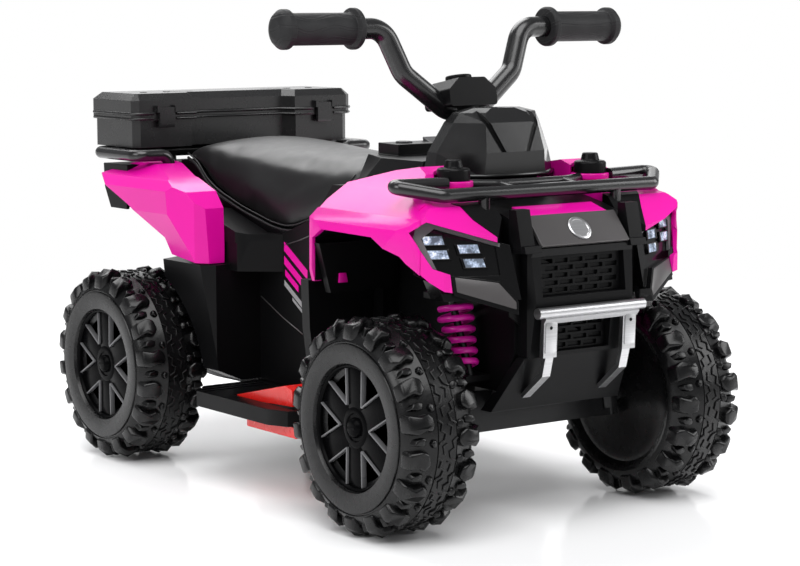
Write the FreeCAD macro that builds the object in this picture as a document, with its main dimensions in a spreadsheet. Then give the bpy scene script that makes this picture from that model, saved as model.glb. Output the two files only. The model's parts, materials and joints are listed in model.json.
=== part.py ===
import FreeCAD, Part
import Sketcher
import math
import os
from FreeCAD import Placement, Rotation, Vector

# Electric quad bike for a small child, in millimetres.
# +Z is up, the bike faces -Y, the rider's right is -X, and it stands on z = 0.

doc = FreeCAD.newDocument("quad_bike")
sheet = doc.addObject("Spreadsheet::Sheet", "sizes")

DRIVING_SIZES = {
    # chassis
    "wheelbase": 507,
    "tyre_radius": 110,
    "body_half": 92,
    "nose_half": 72,
    "body_floor": 100,
    "nose_floor": 30,
    "wall": 4,
    "seat_gap": 0.3,
    # wheels
    "wheel_outer": 218,
    "wheel_width": 88,
    "tyre_base": 102,
    "ring_radius": 83,
    "rim_radius": 64,
    "tyre_wall": 7,
    "lug_count": 18,
    "lug_width": 21,
    "hub_radius": 17,
    "axle_radius": 6,
    "running_fit": 0.05,
    "cover_gap": 0.3,
    "cover_thick": 6,
    "cover_recess": 7,
    "spoke_count": 6,
    "spoke_width": 17,
    # steering
    "steering_rake": 10,
    "column_offset": 45,
    "steer_arm": 45,
    "kingpin_x": 118,
    "kingpin_radius": 6,
    "barrel_radius": 12,
    "barrel_height": 28,
    "lug_plate": 7,
    "arm_plate": 8,
    "column_radius": 8,
    "tie_plate": 6,
    "tie_width": 14,
    "tie_pin": 4,
    "joint_gap": 0.4,
    # handlebar
    "bar_radius": 11,
    "bar_bottom": 316,
    "bar_top": 404,
    "bar_half": 222,
    "bar_flat": 20,
    "bar_knee": 92,
    "grip_inner": 125,
    "grip_outer": 225,
    "grip_radius": 16.5,
    "grip_flange": 21.5,
    "flange_width": 7,
    "clamp_half": 31,
    "clamp_depth": 46,
    "clamp_height": 30,
    "neck_height": 17,
    "neck_radius": 18,
    "horn_radius": 14,
    "horn_height": 9,
    "horn_travel": 3,
    # racks
    "rack_radius": 7,
    "rack_half": 172,
    "rack_height": 237,
    "rack_fall": 8,
    "rack_foot_x": 86,
    "rack_front": -49,
    "rear_rack_half": 164,
    "rack_leg_x": 122,
    "rear_rack_height": 240,
    "knob_radius": 17,
    "knob_x": 90,
    "knob_y": -4,
    "rack_deck": 226.2,
    "collar_radius": 20,
    # storage box
    "box_half": 152,
    "box_length": 91,
    "box_wall": 3,
    "box_depth": 40,
    "lid_height": 23,
    "lid_bevel": 8,
    "lobe_half": 66,
    "lobe_depth": 18,
    "rim_lip": 3,
    "lid_gap": 0.4,
    "hinge_radius": 3,
    "hinge_pin": 1.6,
    "hinge_half": 60,
    "latch_x": 112,
    "latch_width": 20,
    "latch_height": 22,
    # footboards and pedal
    "board_outer": 188,
    "board_thick": 17,
    "board_setback": 156.5,
    "board_share": 0.213,
    "pedal_half": 18,
    "pedal_x": 148,
    "pedal_gap": 2,
    "pedal_pin": 2.5,
    "pedal_setback": 281.5,
    # front end
    "spring_wire": 6.4,
    "spring_turns": 6,
    "spring_top_radius": 17.5,
    "spring_bottom_radius": 7.8,
    "bumper_radius": 5.5,
    "bumper_half": 69,
    "strap_width": 17,
    "lens_width": 24,
    "lens_height": 10,
    # drive
    "battery_length": 98,
    "battery_width": 70,
    "battery_height": 94,
    "motor_radius": 18,
    "socket_radius": 9,
    "socket_bore": 2.75,
    "socket_setback": 226.5,
    "button_radius": 9,
}

for row, (alias, number) in enumerate(DRIVING_SIZES.items(), start=1):
    sheet.set("A%d" % row, alias)
    sheet.set("B%d" % row, str(number))
    sheet.setAlias("B%d" % row, alias)
doc.recompute()


class Dim:
    """A length that carries its number and the sheet expression it comes from."""

    def __init__(self, number, text):
        self.number = float(number)
        self.text = text

    def _join(self, other, sign, swap=False):
        other = other if isinstance(other, Dim) else Dim(other, repr(float(other)))
        first, second = (other, self) if swap else (self, other)
        results = {
            "+": lambda a, b: a + b,
            "-": lambda a, b: a - b,
            "*": lambda a, b: a * b,
            "/": lambda a, b: a / b,
        }
        number = results[sign](first.number, second.number)
        return Dim(number, "(%s %s %s)" % (first.text, sign, second.text))

    def __add__(self, other):
        return self._join(other, "+")

    def __radd__(self, other):
        return self._join(other, "+", True)

    def __sub__(self, other):
        return self._join(other, "-")

    def __rsub__(self, other):
        return self._join(other, "-", True)

    def __mul__(self, other):
        return self._join(other, "*")

    def __rmul__(self, other):
        return self._join(other, "*", True)

    def __truediv__(self, other):
        return self._join(other, "/")

    def __neg__(self):
        return self._join(-1.0, "*")

    def __float__(self):
        return self.number


def dim(alias):
    return Dim(sheet.get(alias), "sizes." + alias)


def val(alias):
    return float(sheet.get(alias))


def bind(obj, prop, value):
    """Set a property and keep it tied to the sheet where the value comes from it."""
    if isinstance(value, Dim):
        obj.setExpression(prop, value.text)
    else:
        obj.setExpression(prop, repr(float(value)))


# Frames: the front and rear axle centres, and the raked steering frame at the front axle.

front_frame = Placement(Vector(0, -val("wheelbase") / 2, val("tyre_radius")), Rotation())
rear_frame = Placement(Vector(0, val("wheelbase") / 2, val("tyre_radius")), Rotation())
steer_turn = Rotation(Vector(-1, 0, 0), val("steering_rake"))
steer_frame = Placement(front_frame.Base, steer_turn)
ground_frame = Placement()


def place(obj, frame):
    """Put a bound sub-part in its frame, following the wheelbase and the tyre."""
    if frame is ground_frame:
        return obj
    obj.Placement = frame
    half = dim("wheelbase") / 2
    bind(obj, "Placement.Base.y", half if frame is rear_frame else -half)
    bind(obj, "Placement.Base.z", dim("tyre_radius"))
    if frame is steer_frame:
        bind(obj, "Placement.Rotation.Angle", dim("steering_rake"))
    return obj


# Sketch and feature helpers

subparts = []


def keep(obj, label):
    obj.Label = label
    subparts.append(obj)
    return obj


def new_body(label):
    body = doc.addObject("PartDesign::Body", label)
    return keep(body, label)


def origin(body, role):
    return next(item for item in body.Origin.OriginFeatures if item.Role == role)


def sketch_on(body, role, offset=0.0):
    sketch = body.newObject("Sketcher::SketchObject", body.Name + "_sketch")
    sketch.AttachmentSupport = [(origin(body, role), "")]
    sketch.MapMode = "FlatFace"
    bind(sketch, "AttachmentOffset.Base.z", offset)
    return sketch


def fix_point(sketch, geometry, end, x, y):
    """Hold one sketch point at its coordinates from the sketch origin."""
    for kind, axis, value in (("DistanceX", -2, x), ("DistanceY", -1, y)):
        if abs(float(value)) < 1e-9:
            sketch.addConstraint(Sketcher.Constraint("PointOnObject", geometry, end, axis))
            continue
        index = sketch.addConstraint(Sketcher.Constraint(kind, -1, 1, geometry, end, float(value)))
        if isinstance(value, Dim):
            sketch.setExpression("Constraints[%d]" % index, value.text)


def add_outline(sketch, points):
    """A closed outline of straight runs, each corner held by its coordinates."""
    first = sketch.GeometryCount
    count = len(points)
    flat = [Vector(float(x), float(y), 0) for x, y in points]
    for i in range(count):
        sketch.addGeometry(Part.LineSegment(flat[i], flat[(i + 1) % count]), False)
    for i in range(count):
        following = first + (i + 1) % count
        sketch.addConstraint(Sketcher.Constraint("Coincident", first + i, 2, following, 1))
    for i, (x, y) in enumerate(points):
        fix_point(sketch, first + i, 1, x, y)


def add_circle(sketch, x, y, radius):
    centre = Vector(float(x), float(y), 0)
    index = sketch.addGeometry(Part.Circle(centre, Vector(0, 0, 1), float(radius)), False)
    fix_point(sketch, index, 3, x, y)
    bound = sketch.addConstraint(Sketcher.Constraint("Radius", index, float(radius)))
    if isinstance(radius, Dim):
        sketch.setExpression("Constraints[%d]" % bound, radius.text)


def rectangle(x0, x1, y0, y1):
    return [(x0, y0), (x1, y0), (x1, y1), (x0, y1)]


def pad(body, sketch, length):
    feature = body.newObject("PartDesign::Pad", body.Name + "_pad")
    feature.Profile = sketch
    bind(feature, "Length", length)
    return feature


def pocket(body, sketch, length, reverse=False):
    feature = body.newObject("PartDesign::Pocket", body.Name + "_pocket")
    feature.Profile = sketch
    feature.Reversed = reverse
    bind(feature, "Length", length)
    return feature


def revolve(body, sketch, axis, cut=False):
    kind = "PartDesign::Groove" if cut else "PartDesign::Revolution"
    feature = body.newObject(kind, body.Name + "_turn")
    feature.Profile = sketch
    feature.ReferenceAxis = (sketch, [axis])
    feature.Angle = 360
    return feature


def polar(body, originals, axis_role, count):
    feature = body.newObject("PartDesign::PolarPattern", body.Name + "_polar")
    feature.Originals = originals
    feature.Axis = (origin(body, axis_role), [""])
    feature.Angle = 360
    bind(feature, "Occurrences", count)
    body.Tip = feature
    return feature


def linear(body, originals, axis_role, length, count):
    feature = body.newObject("PartDesign::LinearPattern", body.Name + "_row")
    feature.Originals = originals
    feature.Direction = (origin(body, axis_role), [""])
    bind(feature, "Length", length)
    feature.Occurrences = count
    body.Tip = feature
    return feature


def prism(label, role, points, start, length, frame):
    """A body padded from one closed outline."""
    body = new_body(label)
    sketch = sketch_on(body, role, start)
    add_outline(sketch, points)
    pad(body, sketch, length)
    return place(body, frame)


def moulded(label, shape, frame):
    """A moulded piece whose shape is worked out from the sheet's values."""
    obj = doc.addObject("Part::Feature", label)
    obj.Shape = shape
    obj.Placement = frame
    return keep(obj, label)


def mirrored(label, source):
    obj = doc.addObject("Part::Mirroring", label)
    obj.Source = source
    obj.Normal = Vector(1, 0, 0)
    return keep(obj, label)


def both_sides(shape):
    return [shape, shape.mirror(Vector(), Vector(1, 0, 0))]


# Shape helpers for moulded pieces

def slab(points, axis, low, high):
    """A prism whose outline lies across one axis: x takes (y, z), y takes (x, z), z takes (x, y)."""
    spots = {
        "x": lambda a, b: Vector(low, a, b),
        "y": lambda a, b: Vector(a, low, b),
        "z": lambda a, b: Vector(a, b, low),
    }
    way = {"x": Vector(1, 0, 0), "y": Vector(0, 1, 0), "z": Vector(0, 0, 1)}[axis]
    corners = [spots[axis](a, b) for a, b in points]
    face = Part.Face(Part.makePolygon(corners + corners[:1]))
    return face.extrude(way * (high - low))


def block(x0, x1, y0, y1, z0, z1):
    return Part.makeBox(x1 - x0, y1 - y0, z1 - z0, Vector(x0, y0, z0))


def rod(start, end, radius):
    way = end - start
    return Part.makeCylinder(radius, way.Length, start, way)


def flat_face(points):
    return Part.Face(Part.makePolygon(points + points[:1]))


def faceted(sections):
    """A solid of flat facets through closed polygons of equal counts; a twisted facet is two triangles."""
    rings = [[Vector(*p) for p in ring] for ring in sections]
    faces = [flat_face(rings[0]), flat_face(rings[-1])]
    for lower, upper in zip(rings, rings[1:]):
        for i in range(len(lower)):
            a = lower[i - 1]
            b = lower[i]
            c = upper[i]
            d = upper[i - 1]
            twist = (b - a).cross(c - a).normalize().dot(d - a)
            if abs(twist) < 1e-7:
                faces.append(flat_face([a, b, c, d]))
            elif (c - a).Length < (d - b).Length:
                faces += [flat_face([a, b, c]), flat_face([a, c, d])]
            else:
                faces += [flat_face([a, b, d]), flat_face([b, c, d])]
    solid = Part.Solid(Part.Shell(faces))
    if solid.Volume < 0:
        solid.reverse()
    return solid


def bent_tube(points, radius, bend):
    """A round tube along straight runs joined by tangent arcs of one bend radius."""
    corners = [Vector(*p) for p in points]
    edges = []
    last = corners[0]
    for before, corner, after in zip(corners, corners[1:], corners[2:]):
        back = (before - corner).normalize()
        ahead = (after - corner).normalize()
        turn = math.pi - back.getAngle(ahead)
        reach = bend * math.tan(turn / 2)
        start = corner + back * reach
        end = corner + ahead * reach
        middle = corner + (back + ahead).normalize() * (bend / math.cos(turn / 2) - bend)
        edges.append(Part.LineSegment(last, start).toShape())
        edges.append(Part.Arc(start, middle, end).toShape())
        last = end
    edges.append(Part.LineSegment(last, corners[-1]).toShape())
    path = Part.Wire(edges)
    ring = Part.Circle(corners[0], corners[1] - corners[0], radius).toShape()
    return path.makePipeShell([Part.Wire([ring])], True)


def lowered(points, drop, inset):
    """An outline's top drawn down and in by a wall, for the hollow under a moulded skin."""
    ys = [y for y, z in points]
    low, high = min(ys) + inset, max(ys) - inset
    return [(min(max(y, low), high), z - drop) for y, z in points]


# Wheels: a hollow moulded tyre and wheel, open on its outer side under the spoked cover

def wheel_body(label):
    body = new_body(label)
    outer = dim("wheel_outer")
    inner = outer - dim("wheel_width")
    base = dim("tyre_base")
    ring = dim("ring_radius")
    rim = dim("rim_radius")
    skin = dim("tyre_wall")
    seat = outer - dim("cover_recess") - dim("cover_thick")
    hub = dim("hub_radius")
    bore = dim("axle_radius") + dim("running_fit")
    shoulder = dim("wheel_width") / 5
    section = [
        (inner + 3, bore),
        (inner + 3, rim + 4),
        (inner, ring - 6),
        (inner, ring),
        (inner + shoulder / 2, base - 7),
        (inner + shoulder, base - 1),
        (inner + dim("wheel_width") / 2, base),
        (outer - shoulder, base - 1),
        (outer - shoulder / 2, base - 7),
        (outer, ring),
        (outer - 3, rim),
        (seat, rim),
        (seat, rim - 4),
        (seat - 4, rim - 4),
        (seat - 6, ring - skin),
        (outer - shoulder, base - skin - 4),
        (inner + shoulder, base - skin - 4),
        (inner + 3 + skin, rim - 4),
        (inner + 3 + skin, hub),
        (outer - 22, hub),
        (outer - 22, bore),
    ]
    sketch = sketch_on(body, "XY_Plane")
    add_outline(sketch, section)
    revolve(body, sketch, "H_Axis")
    half = dim("lug_width") / 2
    centre = outer - dim("wheel_width") / 2
    root = base - 12
    height = dim("tyre_radius") - root + 2
    step = 180.0 / val("lug_count")
    for side, turn in ((1, 0.0), (-1, step)):
        plan = sketch_on(body, "XY_Plane", root)
        reach = dim("wheel_width") / 2
        add_outline(plan, [
            (centre - side * 5, -half + 3),
            (centre + side * 14, -half),
            (centre + side * 20, -half - 3),
            (centre + side * reach, -half + 4),
            (centre + side * reach, half - 1),
            (centre + side * 24, half + 2),
            (centre + side * 16, half - 4),
            (centre - side * 2, half),
        ])
        if turn:
            plan.AttachmentOffset = Placement(
                Vector(0, -math.sin(math.radians(turn)) * float(root),
                       math.cos(math.radians(turn)) * float(root)),
                Rotation(Vector(1, 0, 0), turn))
            plan.setExpression("AttachmentOffset.Base.z", None)
        lug = pad(body, plan, height)
        polar(body, [lug], "X_Axis", dim("lug_count"))
    trim = sketch_on(body, "XY_Plane")
    far = dim("tyre_radius") + 30
    crown = dim("tyre_radius")
    add_outline(trim, [
        (inner - 30, far),
        (inner - 30, ring + 6),
        (inner + 1, ring + 6),
        (inner + shoulder * 0.6, crown - 6),
        (inner + shoulder * 1.5, crown - 1),
        (centre, crown),
        (outer - shoulder * 1.5, crown - 1),
        (outer - shoulder * 0.6, crown - 6),
        (outer - 1, ring + 6),
        (outer + 30, ring + 6),
        (outer + 30, far),
    ])
    revolve(body, trim, "H_Axis", cut=True)
    return body


def cover_body(label):
    body = new_body(label)
    outer = dim("wheel_outer")
    back = outer - dim("cover_recess") - dim("cover_thick")
    thick = dim("cover_thick")
    edge = dim("rim_radius") - dim("cover_gap")
    disc = sketch_on(body, "YZ_Plane", back)
    add_circle(disc, 0, 0, edge)
    pad(body, disc, thick)
    window = sketch_on(body, "YZ_Plane", back)
    half = dim("spoke_width") / 2
    tip = dim("spoke_width") * 1.35
    far = edge - 5
    add_outline(window, [
        (0, tip),
        (far * 0.5 - half, far * 0.866),
        (0, far),
        (half - far * 0.5, far * 0.866),
    ])
    opening = pocket(body, window, thick * 2, reverse=True)
    polar(body, [opening], "X_Axis", dim("spoke_count"))
    cap = sketch_on(body, "YZ_Plane", back)
    add_circle(cap, 0, 0, dim("hub_radius") * 0.85)
    pad(body, cap, thick + 3)
    return body


def build_wheels():
    corners = [
        ("front_wheel_left", "front_cover_left", front_frame),
        ("rear_wheel_left", "rear_cover_left", rear_frame),
    ]
    for wheel_name, cover_name, frame in corners:
        wheel = place(wheel_body(wheel_name), frame)
        cover = place(cover_body(cover_name), frame)
        mirrored(wheel_name.replace("left", "right"), wheel)
        mirrored(cover_name.replace("left", "right"), cover)


# Steering: raked kingpins and column, equal arms, and one bowed tie bar

def build_steering():
    x = val("kingpin_x")
    pin = val("kingpin_radius")
    barrel = val("barrel_radius")
    high = val("barrel_height") / 2
    plate = val("lug_plate")
    gap = val("joint_gap")
    arm = val("steer_arm")
    arm_half = val("arm_plate") / 2
    fit = val("running_fit")
    axle = val("axle_radius")
    inner = val("wheel_outer") - val("wheel_width")
    hub_end = val("wheel_outer") - 22

    up = Vector(0, 0, 1)
    beam = block(-x + barrel + 2, x - barrel - 2, -10, 10, -high - plate, high + plate)
    for side in (-1, 1):
        for low in (high + gap, -high - gap - plate):
            lug = block(min(side * x, side * 90), max(side * x, side * 90), -10, 10, low, low + plate)
            eye = Part.makeCylinder(barrel - 1, plate, Vector(side * x, 0, low), up)
            beam = beam.fuse([lug, eye])
        pin_low = -high - gap - plate
        beam = beam.fuse(Part.makeCylinder(pin, -2 * pin_low, Vector(side * x, 0, pin_low), up))
    beam.Placement = Placement(Vector(), steer_turn)
    saddle_top = val("nose_floor")
    saddle = block(-48, 48, -14, 14, 0, saddle_top)
    moulded("front_axle_beam", beam.fuse(saddle).removeSplitter(), front_frame)

    knuckle = Part.makeCylinder(barrel, 2 * high, Vector(x, 0, -high), up)
    arm_plan = [(x - 7, 0), (x + 7, 0), (x + 7, arm), (x - 7, arm)]
    knuckle = knuckle.fuse([
        slab(arm_plan, "z", -arm_half, arm_half),
        Part.makeCylinder(9, val("arm_plate"), Vector(x, arm, -arm_half), up),
        rod(Vector(x, 0, 0), Vector(inner + 2.5, 0, 0), 9.5),
        rod(Vector(x, 0, 0), Vector(hub_end + 8, 0, 0), axle),
        rod(Vector(hub_end + 0.5, 0, 0), Vector(hub_end + 7, 0, 0), 10),
        Part.makeCylinder(val("tie_pin"), 12, Vector(x, arm, arm_half), up),
    ])
    knuckle = knuckle.cut(Part.makeCylinder(pin + fit, 4 * high, Vector(x, 0, -2 * high), up))
    left = moulded("knuckle_left", knuckle.removeSplitter(), steer_frame)
    mirrored("knuckle_right", left)

    offset = val("column_offset")
    crank = offset + arm
    column_top = val("bar_bottom") - val("bar_radius") - 4
    column = Part.makeCylinder(val("column_radius"), column_top + arm_half, Vector(0, offset, -arm_half), up)
    column = column.fuse([
        slab([(-8, offset), (8, offset), (8, crank), (-8, crank)], "z", -arm_half, arm_half),
        Part.makeCylinder(10, val("arm_plate"), Vector(0, crank, -arm_half), up),
        Part.makeCylinder(val("tie_pin"), 12, Vector(0, crank, arm_half), up),
    ])
    moulded("steering_column", column.removeSplitter(), steer_frame)

    half = val("tie_width") / 2
    low = arm_half + gap
    thick = val("tie_plate")
    tie = slab([(-x, arm + half), (-x, arm - half), (0, crank - half), (x, arm - half),
                (x, arm + half), (0, crank + half)], "z", low, low + thick)
    for px, py in ((-x, arm), (0, crank), (x, arm)):
        tie = tie.fuse(Part.makeCylinder(half + 1.5, thick, Vector(px, py, low), up))
    for px, py in ((-x, arm), (0, crank), (x, arm)):
        eye = Part.makeCylinder(val("tie_pin") + fit, 4 * thick, Vector(px, py, low - thick), up)
        tie = tie.cut(eye)
    moulded("tie_bar", tie.removeSplitter(), steer_frame)


def build_handlebar():
    offset = val("column_offset")
    radius = val("bar_radius")
    low = val("bar_bottom")
    top = val("bar_top")
    flat = val("bar_flat")
    knee = val("bar_knee")
    right = [(0, low), (flat, low), (knee - 20, low + 40), (knee, top), (val("bar_half"), top)]
    route = [(-x, offset, z) for x, z in reversed(right[1:])] + [(x, offset, z) for x, z in right[1:]]
    moulded("handlebar", bent_tube(route, radius, 24), steer_frame)

    inner = val("grip_inner")
    outer = val("grip_outer")
    body = val("grip_radius")
    flange = val("grip_flange")
    rim = val("flange_width")
    fit = val("running_fit")
    section = [
        (inner, radius + fit), (inner, flange - 2), (inner + 2, flange), (inner + rim, flange),
        (inner + rim + 2, body), (outer - 16, body), (outer - 14, flange - 1),
        (outer - 8, flange - 1), (outer - 3, body), (outer, body * 0.55), (outer, 0),
        (val("bar_half") + fit, 0), (val("bar_half") + fit, radius + fit),
    ]
    corners = [Vector(x, offset + r, top) for x, r in section]
    face = Part.Face(Part.makePolygon(corners + corners[:1]))
    grip = face.revolve(Vector(0, offset, top), Vector(1, 0, 0), 360)
    moulded("grips", Part.makeCompound(both_sides(grip)), steer_frame)

    half = val("clamp_half")
    depth = val("clamp_depth") / 2
    foot = low - radius - 4
    base = foot + val("neck_height")
    high = base + val("clamp_height")
    clamp = slab([(-half, base), (half, base), (half, high - 12), (half - 14, high),
                  (14 - half, high), (-half, high - 12)], "y", offset - depth, offset + depth)
    edges = [e for e in clamp.Edges if abs(e.tangentAt(e.FirstParameter).y) > 0.9]
    clamp = clamp.makeFillet(4, edges)
    neck = rod(Vector(0, offset, foot), Vector(0, offset, base + 1), val("neck_radius"))
    clamp = clamp.fuse(neck).cut(bent_tube(route, radius + fit, 24))
    horn_room = val("horn_radius") + val("joint_gap")
    sink = val("horn_height") - val("horn_travel") - 2
    well = Part.makeCylinder(horn_room, sink + val("horn_travel") + 1,
                             Vector(0, offset, high - sink - val("horn_travel") - 1), Vector(0, 0, 1))
    clamp = clamp.cut(well)
    moulded("handlebar_clamp", clamp.removeSplitter(), steer_frame)

    stem = high - sink
    button = rod(Vector(0, offset, stem), Vector(0, offset, stem + val("horn_height")), val("horn_radius"))
    top_edge = [e for e in button.Edges if e.BoundBox.ZMin > stem + 1 and e.Closed]
    moulded("horn_button", button.makeFillet(2, top_edge), steer_frame)


# Body: a hollow tub with a narrow nose, leg shields and rear arches

def seat_stations():
    """Along the saddle: place from the middle of the wheelbase, half width, crown and lower edge."""
    rear = val("wheelbase") / 2
    front = -val("wheelbase") / 2
    lift = val("tyre_radius")
    return [
        (front + 207.5, 58, lift + 240, lift + 222),
        (front + 245.5, 74, lift + 247, lift + 183),
        (48, 85, lift + 250, lift + 163),
        (100, 89, lift + 253, lift + 170),
        (rear - 95, 91, lift + 256, lift + 185),
        (rear - 45, 91, lift + 257, lift + 204),
        (rear - 12, 90, lift + 254, lift + 228),
        (rear + 18, 86, lift + 246, lift + 232),
    ]


def side_outline():
    """Side view of the tub's middle, its top just under the saddle's lower edge."""
    rear = val("wheelbase") / 2
    front = -val("wheelbase") / 2
    lift = val("tyre_radius")
    floor = val("body_floor")
    top = [(y, edge - val("seat_gap")) for y, half, crown, edge in seat_stations()]
    return [
        (front + 115, floor), (rear - 103, floor), (rear - 77, floor + 6), (rear - 19, lift + 63),
        (rear - 6, lift + 118), (rear + 18, lift + 190),
    ] + top[::-1] + [(front + 115, lift + 225)]


def build_tub():
    rear = val("wheelbase") / 2
    front = -val("wheelbase") / 2
    lift = val("tyre_radius")
    floor = val("body_floor")
    half = val("body_half")
    nose = val("nose_half")
    wall = val("wall")

    outline = side_outline()
    middle = slab(outline, "x", -half, half)
    nose_low = lift + val("nose_floor")
    nose_outline = [
        (front - 58, nose_low), (front + 116, nose_low), (front + 116, lift + 225),
        (front + 24, lift + 226), (front - 46, lift + 212), (front - 80, lift + 202),
        (front - 80, nose_low + 40),
    ]
    prow = slab(nose_outline, "x", -nose, nose)
    skin = middle.fuse(prow)

    shield_lean = [
        (front + 143, floor - 1), (front + 156, floor - 1), (front + 143, lift + 132),
        (front + 129, lift + 132),
    ]
    shield_face = [
        (half - 8, floor - 1), (154, floor - 1), (172, lift + 80), (177, lift + 132), (half - 8, lift + 132),
    ]
    liner_face = [(half - 8, lift + 120), (164, lift + 120), (178, lift + 172), (half - 8, lift + 172)]
    arch = Part.makeCylinder(lift + 9, 200, Vector(half + 4, rear, lift), Vector(1, 0, 0))
    flare_plan = [(half - 8, rear - 152), (150, rear - 152), (165, rear - 140),
                  (165, rear - 60), (half - 8, rear - 20)]
    flare_face = [(half - 8, floor + 2), (118, floor + 2), (148, floor + 15), (164, lift + 125),
                  (half - 8, lift + 125)]
    filler_plan = [(half - 8, rear - 207), (131, rear - 166.4), (131, rear - 100), (half - 8, rear - 60)]
    ledge_plan = [(half + 2, rear - 198.4), (132.6, rear - 165), (132.6, rear - 84), (half + 2, rear - 30)]
    ledge_side = [(rear - 210, lift + 150), (rear - 30, lift + 150), (rear - 30, lift + 182),
                  (rear - 95, lift + 182), (rear - 203, lift + 152)]
    for turn in (0, 1):
        shield = slab(shield_lean, "x", half - 8, 190).common(slab(shield_face, "y", front, rear))
        flare = slab(flare_plan, "z", floor, lift + 130).common(slab(flare_face, "y", front, rear))
        flare = flare.cut(arch)
        filler = slab(filler_plan, "z", lift + 118, lift + 160)
        ledge = slab(ledge_plan, "z", lift + 150, lift + 182).common(slab(ledge_side, "x", half, 140))
        liner = slab(liner_face, "y", front + 107, front + 116)
        pieces = [shield, flare, filler, ledge, liner]
        if turn:
            pieces = [piece.mirror(Vector(), Vector(1, 0, 0)) for piece in pieces]
        skin = skin.fuse(pieces)

    hollow = Part.Face(Part.makePolygon([Vector(0, y, z) for y, z in outline + outline[:1]]))
    hollow = hollow.makeOffset2D(-wall, join=2)
    hollow = hollow.extrude(Vector(2 * (half - wall), 0, 0))
    hollow.translate(Vector(-(half - wall), 0, 0))
    cave = Part.Face(Part.makePolygon([Vector(0, y, z) for y, z in nose_outline + nose_outline[:1]]))
    cave = cave.makeOffset2D(-wall, join=2).extrude(Vector(2 * (nose - wall), 0, 0))
    cave.translate(Vector(-(nose - wall), 0, 0))
    tub = skin.cut(hollow).cut(cave)

    for turn in (0, 1):
        top_mount = block(nose - 1, 114, front - 36, front + 14, lift + 121, lift + 127)
        low_mount = block(nose - 1, 103, front - 42, front - 18, lift + 40, lift + 46)
        pieces = [top_mount, low_mount]
        if turn:
            pieces = [piece.mirror(Vector(), Vector(1, 0, 0)) for piece in pieces]
        tub = tub.fuse(pieces)

    bearing = Part.makeCylinder(val("column_radius") + val("running_fit"), 400,
                                Vector(0, val("column_offset"), -40), Vector(0, 0, 1))
    bearing.Placement = steer_frame.multiply(bearing.Placement)
    offset = val("column_offset")
    upper = rod(Vector(0, offset, 120), Vector(0, offset, 320), val("column_radius") + 6)
    upper.Placement = steer_frame.multiply(upper.Placement)
    tub = tub.cut(bearing).cut(upper)
    spot = rear - val("socket_setback")
    socket = rod(Vector(0, spot, lift + 30), Vector(half + 5, spot, lift + 30),
                 val("socket_radius") + val("running_fit"))
    tub = tub.cut(socket)
    return moulded("body_tub", tub.removeSplitter(), ground_frame)


def build_seat():
    sections = []
    for y, half, crown, edge in seat_stations():
        low = edge - 6
        tall = crown - edge
        corner = Vector(half - 9, y, crown - 0.16 * tall - 3)
        foot = Vector(half, y, low)
        side = Vector(half + 1.5, y, edge + 0.42 * tall)
        flip = [Vector(-p.x, p.y, p.z) for p in (corner, foot, side)]
        sections.append(Part.Wire([
            Part.LineSegment(flip[1], foot).toShape(),
            Part.Arc(foot, side, corner).toShape(),
            Part.Arc(corner, Vector(0, y, crown), flip[0]).toShape(),
            Part.Arc(flip[0], flip[2], flip[1]).toShape(),
        ]))
    saddle = Part.makeLoft(sections, True, False)
    stations = seat_stations()
    below = [(y, edge) for y, half, crown, edge in stations]
    deep = val("body_floor")
    below = [(below[0][0] - 20, below[0][1] + 8)] + below + [(below[-1][0] + 20, below[-1][1] + 2)]
    base = slab(below + [(below[-1][0], deep), (below[0][0], deep)], "x", -200, 200)
    moulded("seat", saddle.cut(base), ground_frame)


# Fenders: faceted skins cut from three outlines, open underneath

def inset_prism(points, wall, axis, low, high):
    """A prism of an outline drawn in by a wall all round."""
    spots = {"y": lambda a, b: Vector(a, low, b), "z": lambda a, b: Vector(a, b, low)}
    way = {"y": Vector(0, 1, 0), "z": Vector(0, 0, 1)}[axis]
    corners = [spots[axis](a, b) for a, b in points]
    face = Part.Face(Part.makePolygon(corners + corners[:1]))
    return face.makeOffset2D(-wall, join=2).extrude(way * (high - low))


def skin_from(side_top, side_low, across, opened, plan, wall, drop):
    """A skin from its side, cross and plan outlines; the opened outline bounds the hollow under it."""
    reach = max(x for x, z in across) + 10
    near = min(x for x, z in across) - 10
    solid = slab(side_top + side_low, "x", near, reach)
    solid = solid.common(slab(across, "y", -400, 400))
    solid = solid.common(slab(plan, "z", -50, 400))
    tops = lowered(side_top, wall, wall)
    ys = [y for y, z in tops]
    lows = [(min(max(y, min(ys)), max(ys)), z - drop) for y, z in side_low]
    core = slab(tops + lows, "x", near, reach)
    core = core.common(inset_prism(opened, wall, "y", -400, 400))
    core = core.common(inset_prism(plan, wall, "z", -60, 420))
    return solid.cut(core)


def build_rear_fenders():
    top = [(-144, 126), (-142, 188), (-126, 206), (-88, 219), (-12, 230), (40, 230), (66, 216)]
    low = [(-14, 186), (-83, 152), (-88, 133)]
    across = [
        (96, 233), (140, 231), (176, 217), (185, 206), (184, 180), (165, 120), (134, 120), (132, 172),
        (96, 186),
    ]
    opened = [(40, 235), (140, 231), (176, 217), (185, 206), (184, 180), (146, 60), (40, 60)]
    plan = [
        (96, 20), (108, -10), (133, -82), (133, -150), (150, -146), (168, -136), (186, -100), (186, 34),
        (172, 70), (96, 70),
    ]
    skin = skin_from(top, low, across, opened, plan, val("wall"), 40)
    foot = val("rear_rack_height")
    spot = val("rack_leg_x")
    leg = rod(Vector(spot, -4, foot - 40), Vector(spot, -4, foot), val("rack_radius") + 0.2)
    left = moulded("rear_fender_left", skin.cut(leg), rear_frame)
    mirrored("rear_fender_right", left)


def lamp_ring(spots, out):
    """Corners along and down the lamp face, set forward of it on walls that lean outwards."""
    corner, along, down, outward, centres = lamp_places()
    wall = outward - along * 0.2 + down * 0.15
    return [tuple(corner + along * u + down * v + wall * out) for u, v in spots]


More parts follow.
